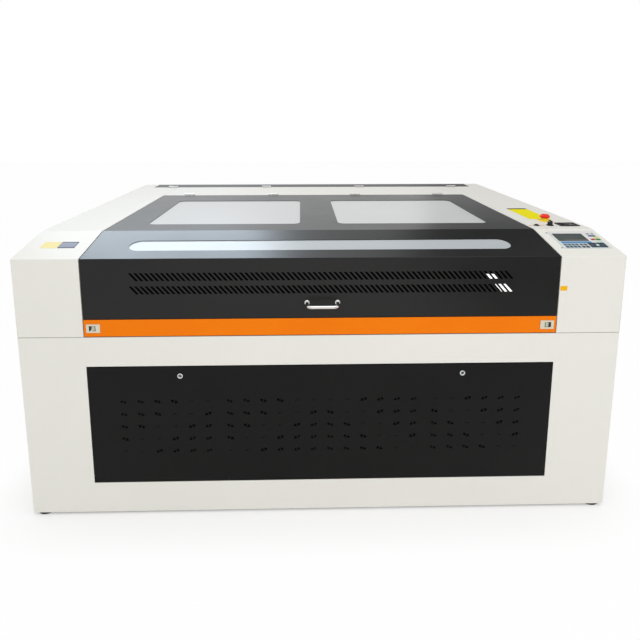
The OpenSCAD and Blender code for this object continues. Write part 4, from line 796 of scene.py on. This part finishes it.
# Control panel: sizes, and places from its middle; a field or a key is its finish, its place and its size
control = {
    "plate": (0.176, 0.14),
    "rise": 0.003,
    "field": (0.169, 0.134),
    "screen": ((-0.024, 0.018), (0.114, 0.063)),
    "fields": [
        ("screenAmber", (-0.011, -0.0045), (0.088, 0.0032)),
        ("keyBlue", (-0.0215, -0.0255), (0.115, 0.016)), ("keyPale", (-0.0505, -0.053), (0.06, 0.034))],
    "keyRows": [("keyTeal", -0.0445), ("keyNavy", -0.0615)],
    "keyColumns": (-0.0725, -0.058, -0.0435, -0.029),
    "keySize": (0.0115, 0.012),
    "wideKeys": (-0.0135, 0.002),
    "wideSize": (0.0132, 0.0125),
    "bars": [(-0.0216, -0.053), (0.011, -0.053)],
    "barSize": (0.0028, 0.0335),
    "jog": ((0.0455, -0.0475), (0.064, 0.039)),
    "jogKeys": [(0.0455, -0.035), (0.0455, -0.06), (0.0255, -0.0475), (0.0655, -0.0475)],
    "jogSize": (0.012, 0.009),
    "jogKnob": 0.0062,
    "crown": (0.0005, 0.0018),  # a key's top is drawn in by these, just under it and on it
    "colourKeys": [
        ("keyGrey", (0.0575, 0.046), (0.012, 0.008)), ("keyGrey", (0.0745, 0.046), (0.012, 0.008)),
        ("keyNavy", (0.0545, 0.029), (0.0075, 0.0115)), ("keyPurple", (0.064, 0.029), (0.0125, 0.0115)),
        ("keyNavy", (0.074, 0.029), (0.008, 0.0115)), ("keyYellow", (0.0735, 0.014), (0.019, 0.015)),
        ("keyRed", (0.0535, -0.0015), (0.016, 0.0125)), ("keyGreen", (0.0725, -0.002), (0.018, 0.0125)),
        ("keyMint", (0.0655, -0.02), (0.026, 0.006))],
}


# Raised key: a rounded block with a soft crown
def keyShape(size, low, high, radius=0.002):
    under, top = control["crown"]
    return block(*size, radius, [(0, low), (0, (low + high) / 2), (under, high - 0.0001), (top, high)], 4)


# Panel: each of its shapes set down at the panel's middle + its places
def buildControl():
    rise, low = control["rise"], control["rise"] + 0.0001
    shapes = []

    def add(finish, shape, *places):
        shapes.append((finish, put(shape, [(panelAt.x + x, panelS + y, 0) for x, y in places], "slope")))

    add("panelFoil", block(*control["plate"], 0.006, [(0, 0), (0, rise - 0.0008), (0.0008, rise)]), (0, 0))
    add("panelField", block(*control["field"], 0.004, [(0, rise - 0.0005), (0.0002, rise + 0.0003)]), (0, 0))
    place, (w, d) = control["screen"]
    add("blackPlastic", boxFrame(
        (w, d, 0.002, low), (w - 0.0006, d - 0.0006, 0.002, rise + 0.001),
        (w - 0.004, d - 0.004, 0.0015, rise + 0.001), (w - 0.004, d - 0.004, 0.0015, low)), place)
    add("screenGlass", block(w - 0.0042, d - 0.0042, 0.0014, [(0, low), (0.0001, rise + 0.0006)]), place)
    for finish, place, size in control["fields"]:
        add(finish, block(*size, 0.0012, [(0, low), (0.0002, rise + 0.0007)], 3), place)
    for finish, row in control["keyRows"]:
        for keys, size in (("keyColumns", "keySize"), ("wideKeys", "wideSize")):
            add(finish, keyShape(control[size], low, rise + 0.0012), *[(x, row) for x in control[keys]])
    line = block(*control["barSize"], 0.001, [(0, low), (0.0001, rise + 0.001)], 3)
    add("whitePlastic", line, *control["bars"])
    place, size = control["jog"]
    knob = control["jogKnob"]
    add("keyNavy", block(*size, 0.005, [(0, low), (0.0004, rise + 0.0007)]), place)
    add("keyTeal", keyShape(control["jogSize"], low, rise + 0.0011, 0.003), *control["jogKeys"])
    cap = [(knob, low), (knob, rise + 0.0006), (knob - 0.0012, rise + 0.0011)]
    add("whitePlastic", lathe(cap, 24), place)
    for finish, place, size in control["colourKeys"]:
        add(finish, keyShape(size, low, rise + 0.001), place)
    return shapes


addPiece("control_unit", buildControl(), "chassis", ["control_panel", "panel_display"])
print("stage: control panel")


# Plain colour plates: the tall warning field with its dark end, the two on the left slope, and the tag
plates = {"rise": 0.0006, "warn": (0.09, 0.254), "dark": 0.021, "gap": 0.002, "slope": (0.061, 0.05),
          "slopeUp": 0.11, "slate": (0.056, 0.036), "tag": (0.025, 0.017), "tagAt": (0.015, 0.8685)}


# Thin plate: a block of that size, drawn in a little over its rise
def plateShape(size, radius=0.0015):
    return block(*size, radius, [(0, 0), (0.0001, plates["rise"])], 3)


plateLow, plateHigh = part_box("label_plates")
warnW, warnD = plates["warn"]
warnX, warnTop = plateHigh.x - warnW / 2, plateHigh.y
yellowD = warnD - plates["dark"] - plates["gap"]
slopeX = plateLow.x + plates["slope"][0] / 2
slateX = slopeX + plates["slope"][0] + plates["gap"]
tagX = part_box("right_housing")[0].x + plates["tagAt"][0]
addPiece("colour_plates", [
    ("labelYellow", put(plateShape((warnW, yellowD)), (warnX, warnTop - warnD + yellowD / 2, 0), "top")),
    ("labelInk", put(plateShape((warnW, plates["dark"])), (warnX, warnTop - plates["dark"] / 2, 0), "top")),
    ("labelPale", put(plateShape(plates["slope"]), (slopeX, plates["slopeUp"], 0), "slope")),
    ("labelDark", put(plateShape(plates["slope"]), (slateX, plates["slopeUp"], 0), "slope")),
    ("labelSlate", put(plateShape(plates["slate"], 0.001), (slateX, plates["slopeUp"], 0.0002), "slope")),
    ("tagAmber", put(plateShape(plates["tag"]), (tagX, plates["tagAt"][1], 0), "front")),
], "chassis", ["label_plates"])
print("stage: colour plates")


# Cam locks of the lower door: a turned body, a core (a share of its radius) with a slot, and the cam behind
lock = {"core": 0.58, "slot": (0.002, 0.0085), "cam": (0.056, 0.016), "camThick": 0.003, "camShift": 0.02}
for side in ("left", "right"):
    low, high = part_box("door_lock_" + side)
    r = (high.z - low.z) / 2
    out, back, core = frontY - low.y, frontY - high.y, r * lock["core"]
    at = (low.x + r, (low.z + high.z) / 2, 0)
    addPiece("door_lock_" + side + "_body", [
        ("chrome", put(lathe([
            (r - 0.002, back), (r - 0.002, 0), (r - 0.0004, 0.0002), (r, 0.0008), (r, out - 0.0012),
            (r - 0.0004, out - 0.0004), (r - 0.0014, out), (core + 0.0006, out), (core, out - 0.0006),
            (core - 0.0002, out - 0.0018)], 36), at, "front")),
        ("lockCore", put(lathe([
            (core - 0.0004, out - 0.0019), (core - 0.0004, out - 0.0012), (core - 0.001, out - 0.0008)], 28),
            at, "front")),
        ("blackPlastic", put(block(*lock["slot"], 0.0008, [
            (0, out - 0.001), (0.0001, out - 0.0006)], 3), at, "front")),
        ("zincSheet", put(block(*lock["cam"], 0.0075, [(0, back), (0, back + lock["camThick"])]),
                          (at[0] + lock["camShift"], at[1], 0), "front")),
    ], "door_lock_" + side, ["door_lock_" + side])

# Latch bolts: a pale thumb block in the plate's window and a dark bar behind the flap
bolt = {"thumb": (0.011, 0.017), "proud": 0.001, "bar": 0.0034, "height": 0.012, "fromPlate": 0.03,
        "soft": 0.0004}
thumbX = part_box("latch_plates")[1].x - bolt["fromPlate"] + bolt["thumb"][0] / 2
for side, way in (("left", -1), ("right", 1)):
    low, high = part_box("latch_bolt_" + side)
    proud, soft = bolt["proud"], bolt["soft"]
    at = ((low.x + high.x) / 2, (low.z + high.z) / 2, 0)
    deep = frontY - high.y
    ahead = deep + bolt["bar"]
    addPiece("latch_bolt_" + side + "_parts", [
        ("thumbCream", put(block(*bolt["thumb"], 0.0016, [
            (0, deep + 0.003), (0, proud - 0.0008), (0.0008, proud)]), (way * thumbX, at[1], 0), "front")),
        ("darkMetal", put(block(high.x - low.x, bolt["height"], 0.001, [
            (soft, deep), (0, deep + soft), (0, ahead - soft), (soft, ahead)]), at, "front")),
    ], "latch_bolt_" + side, ["latch_bolt_" + side])

# Level feet: a rubber pad, and a hexagon nut with the stud's shoulder
foot = {"radius": 0.035, "nut": 0.011, "shoulder": 0.0105, "stud": 0.008, "around": 24}
footLow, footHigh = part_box("level_feet")
footRows = (footLow.y + foot["radius"], (footLow.y + footHigh.y) / 2, footHigh.y - foot["radius"])
footPlaces = [(sign * (footHigh.x - foot["radius"]), y, 0) for sign in (-1, 1) for y in footRows]
nut, stud = hexOutline(foot["nut"], foot["around"]), roundOutline(foot["stud"], foot["around"])
shoulder = roundOutline(foot["shoulder"], foot["around"])
nutShape = skin(stack((nut, 0.0064), (nut, 0.0084), (shoulder, 0.009), (stud, 0.009), (stud, 0.01)))
addPiece("levelling_feet", [
    ("rubber", put(lathe([
        (0.032, 0), (0.0345, 0.0006), (foot["radius"], 0.0018), (0.0345, 0.0042), (0.03, 0.0058),
        (0.014, 0.0068)], 32), footPlaces, "ground")),
    ("zincSheet", put(nutShape, footPlaces, "ground")),
], "chassis", ["level_feet"])

# Side door pulls: a round recessed cup in each finger hole
pull = {"radius": 0.0118, "lip": 0.0145, "deep": 0.012, "bottom": 0.004, "fromEdge": 0.03, "sunk": 0.0008}
r, lip, bottom, deep = pull["radius"], pull["lip"], pull["bottom"], -pull["deep"]
cup = hoop([(lip, 0), (lip - 0.0006, 0.0008), (r - 0.0012, 0.0008), (r - 0.0022, deep + 0.002),
            (bottom, deep + 0.001), (bottom, deep), (r - 0.0008, deep), (r, -0.001)], 28)
for side, way in (("left", -1), ("right", 1)):
    doorLow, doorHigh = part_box(side + "_door")
    at = (way * (doorLow.y + pull["fromEdge"]), (doorLow.z + doorHigh.z) / 2, -pull["sunk"])
    addPiece(side + "_door_pull", [("blackPlastic", put(cup, at, side))], side + "_door")
print("stage: locks, feet and pulls")


# Back of the cabinet: exhaust outlets, set out from the right one's room, water barbs and the power inlet
outletBox = rooms["exhaust_right_inside"]
outlet = {
    "x": (outletBox[0][0] + outletBox[1][0]) / 2,
    "z": (outletBox[0][2] + outletBox[1][2]) / 2,
    "radius": 0.075,
    "length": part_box("rear_fittings")[1].y - backY,
    "flange": 0.09,
    "thick": 0.002,  # of the flange
    "wall": 0.0015,
    "bead": (0.0022, 0.003, 0.01),  # rise, half width, and its middle from the tube's end
    "screws": 0.0828,
}
rowStart = halfW - 0.385
inlet = {"x": -(rowStart + 0.03), "down": 0.085, "high": 0.012,
         "pins": ((-0.007, -0.003), (0.007, -0.003), (0, 0.004))}
barbs = {"x": [-(rowStart + i * 0.045) for i in range(3)], "down": 0.02, "profile": [
    (0.01, 0), (0.01, 0.003), (0.0085, 0.004), (0.0044, 0.005), (0.0044, 0.009), (0.006, 0.0095),
    (0.0046, 0.0155), (0.006, 0.016), (0.0046, 0.022), (0.006, 0.0225), (0.0042, 0.03)]}


# Outlet: a flange, a tube and a half round bead near its end, then back down inside; all turned
def outletShape():
    r, wall, length = outlet["radius"], outlet["wall"], outlet["length"]
    flange, thick = outlet["flange"], outlet["thick"]
    proud, half, fromEnd = outlet["bead"]
    turn = np.linspace(0, np.pi, 7)[1:-1]
    bead = [(r + proud * math.sin(a), length - fromEnd - half * math.cos(a)) for a in turn]
    return hoop([(flange, 0), (flange, 0.0014), (flange - 0.0006, thick), (r + 0.003, thick), (r, 0.005),
                 *bead, (r, length), (r - wall, length), (r - wall, 0)], 56)


outletPlaces = [(sign * outlet["x"], outlet["z"], 0) for sign in (-1, 1)]
flangeScrews = [(x + outlet["screws"] * math.cos(a), z + outlet["screws"] * math.sin(a), outlet["thick"])
                for x, z, h in outletPlaces for a in np.radians((45, 135, 225, 315))]
inletAt, high = (inlet["x"], outlet["z"] - inlet["down"], 0), inlet["high"]
barbPlaces = [(x, outlet["z"] - barbs["down"], 0) for x in barbs["x"]]
pinPlaces = [(inletAt[0] + x, inletAt[1] + y, 0) for x, y in inlet["pins"]]
addPiece("rear_outlets", [
    ("zincSheet", put(outletShape(), outletPlaces, "back")),
    ("zincSheet", put(dome, flangeScrews, "back")),
    ("brass", put(lathe(barbs["profile"], 20), barbPlaces, "back")),
    ("blackPlastic", put(boxFrame(
        (0.06, 0.05, 0.003, 0), (0.06, 0.05, 0.003, high - 0.001), (0.058, 0.048, 0.003, high),
        (0.034, 0.026, 0.004, high), (0.033, 0.025, 0.004, 0.001)), inletAt, "back")),
    ("blackPlastic", put(block(0.034, 0.026, 0.004, [(0, 0.0005), (0.0002, 0.002)]), inletAt, "back")),
    ("brass", put(block(0.002, 0.005, 0.0006, [(0, 0.002), (0.0002, 0.01)], 3), pinPlaces, "back")),
], "chassis", ["rear_fittings"])
print("stage: back fittings")


# Laser tube: glass jacket, inner bore and end caps, turned about its own line
tubeLow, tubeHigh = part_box("laser_tube")
tubeAt = ((tubeLow.y + tubeHigh.y) / 2, (tubeLow.z + tubeHigh.z) / 2, 0)
tube = {"radius": (tubeHigh.z - tubeLow.z) / 2, "cap": 0.045, "capOver": 0.006, "bore": 0.011,
        "shoulder": [(0.5, -0.004), (0.8, 0), (0.98, 0.012), (1, 0.03)],
        "end": 0.3, "collar": 0.48, "neck": 0.4, "step": 0.002}
tubeR, left, right = tube["radius"], tubeLow.x + tube["cap"], tubeHigh.x - tube["cap"]
jacket = [(tubeR * share, left + step) for share, step in tube["shoulder"]]
jacket += [(tubeR * share, right - step) for share, step in tube["shoulder"][::-1]]


# End cap from its outer end inwards: a shallow step, a collar to halfway and a neck, shares of the radius
def capShape(start, end):
    half = start * 0.5 + end * 0.5
    step = start + tube["step"] * np.sign(end - start)
    tip, collarR, neck = (tubeR * tube[part] for part in ("end", "collar", "neck"))
    return lathe([(tip, start), (collarR, step), (collarR, half), (neck, half), (neck, end)], 28)


addPiece("glass_tube", [
    ("tubeGlass", put(lathe(jacket, 40), tubeAt, "across")),
    ("milkyPane", put(lathe([(tube["bore"], left), (tube["bore"], right)], 24), tubeAt, "across")),
    ("zincSheet", put(capShape(tubeLow.x, left + tube["capOver"]), tubeAt, "across")),
    ("zincSheet", put(capShape(tubeHigh.x, right - tube["capOver"]), tubeAt, "across")),
], "chassis", ["laser_tube"])

headLow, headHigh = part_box("laser_head")
lens = {"radius": 0.0146, "knurls": 24, "depth": 0.0005, "low": headLow.z + 0.055, "high": headLow.z + 0.072,
        "fromFront": 0.025}


# Knurled lens barrel on the cutting head: radius + depth x a square wave round the barrel
def knurledRing():
    around, low, high = lens["knurls"] * 4, lens["low"], lens["high"]
    turn = np.linspace(0, 2 * np.pi, around, endpoint=False)
    ring = lens["radius"] + lens["depth"] * np.sign(np.sin(lens["knurls"] * turn))
    outline = ring[:, None] * np.column_stack([np.cos(turn), np.sin(turn)])
    plain = roundOutline(lens["radius"] - 0.001, around)
    return skin(stack((plain, low), (outline, low + 0.001), (outline, high - 0.001), (plain, high)))


headMiddle = ((headLow.x + headHigh.x) / 2, headLow.y + lens["fromFront"], 0)
addPiece("lens_ring", [("brass", put(knurledRing(), headMiddle, "ground"))], "carriage")

# Glowing bar behind the right end of the vents, painted light for the brightness seen through those slots: a
# flat bar in line with the slots; its corners as x and height
strip = {"corners": ((0.5795, 0.922), (0.6135, 0.922), (0.6835, 0.852), (0.6415, 0.852)), "front": 0.003,
         "deep": 0.002, "edge": 0.0003, "drawn": 0.97}
# Black sheets behind the vents and the lower door's cuts, painted shade that keeps the openings dark, and the
# seal under the lid's front edge
cutMiddle = seamZ - 0.346
ventSheet = {"half": 0.79, "low": 0.846, "high": 0.942, "front": 0.006, "deep": 0.001}
doorSheet = {"half": 0.765, "low": cutMiddle - 0.118, "high": cutMiddle + 0.118, "front": 0.0045,
             "deep": 0.001}
seal = {"front": 0.004, "deep": 0.006, "low": 0.005, "inset": 0.004, "soft": 0.0006, "into": 0.0003}


# Flat bar: the corners at its back and front, and drawn in a little over its front edge
def stripShape():
    outline, front = np.array(strip["corners"]), -strip["front"]
    centre = outline.mean(0)
    drawn = centre + (outline - centre) * strip["drawn"]
    return skin(stack((outline, front - strip["deep"]), (outline, front - strip["edge"]), (drawn, front)))


# Black sheet of painted shade: a thin rounded block lying behind the front plane
def sheetShape(spec):
    height, back = spec["high"] - spec["low"], -spec["front"] - spec["deep"]
    sheet = block(2 * spec["half"], height, 0.004, [(0, back), (0, -spec["front"])])
    return put(sheet, (0, (spec["low"] + spec["high"]) / 2, 0), "front")


lidLow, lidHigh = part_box("lid_front")
front, soft = -seal["front"], seal["soft"]
back = front - seal["deep"]
# The glowing bar: painted light behind the vents, not a lamp of the machine
addPiece("lid_vent_glow", [("ventGlow", put(stripShape(), (0, 0, 0), "front"))], "lid")
# Black sheets of painted shade behind the vents and the door's cuts
addPiece("vent_shade_sheet", [("shadeBacking", sheetShape(ventSheet))], "lid")
addPiece("door_shade_sheet", [("shadeBacking", sheetShape(doorSheet))], "front_door")
addPiece("lid_seal", [
    ("rubber", put(block(2 * (lidHigh.x - seal["inset"]), seal["low"], 0.0015, [
        (soft, back), (0, back + soft), (0, front - soft), (soft, front)]),
        (0, lidLow.z - seal["low"] / 2 + seal["into"], 0), "front")),
], "lid")
print("stage: tube, head and light")
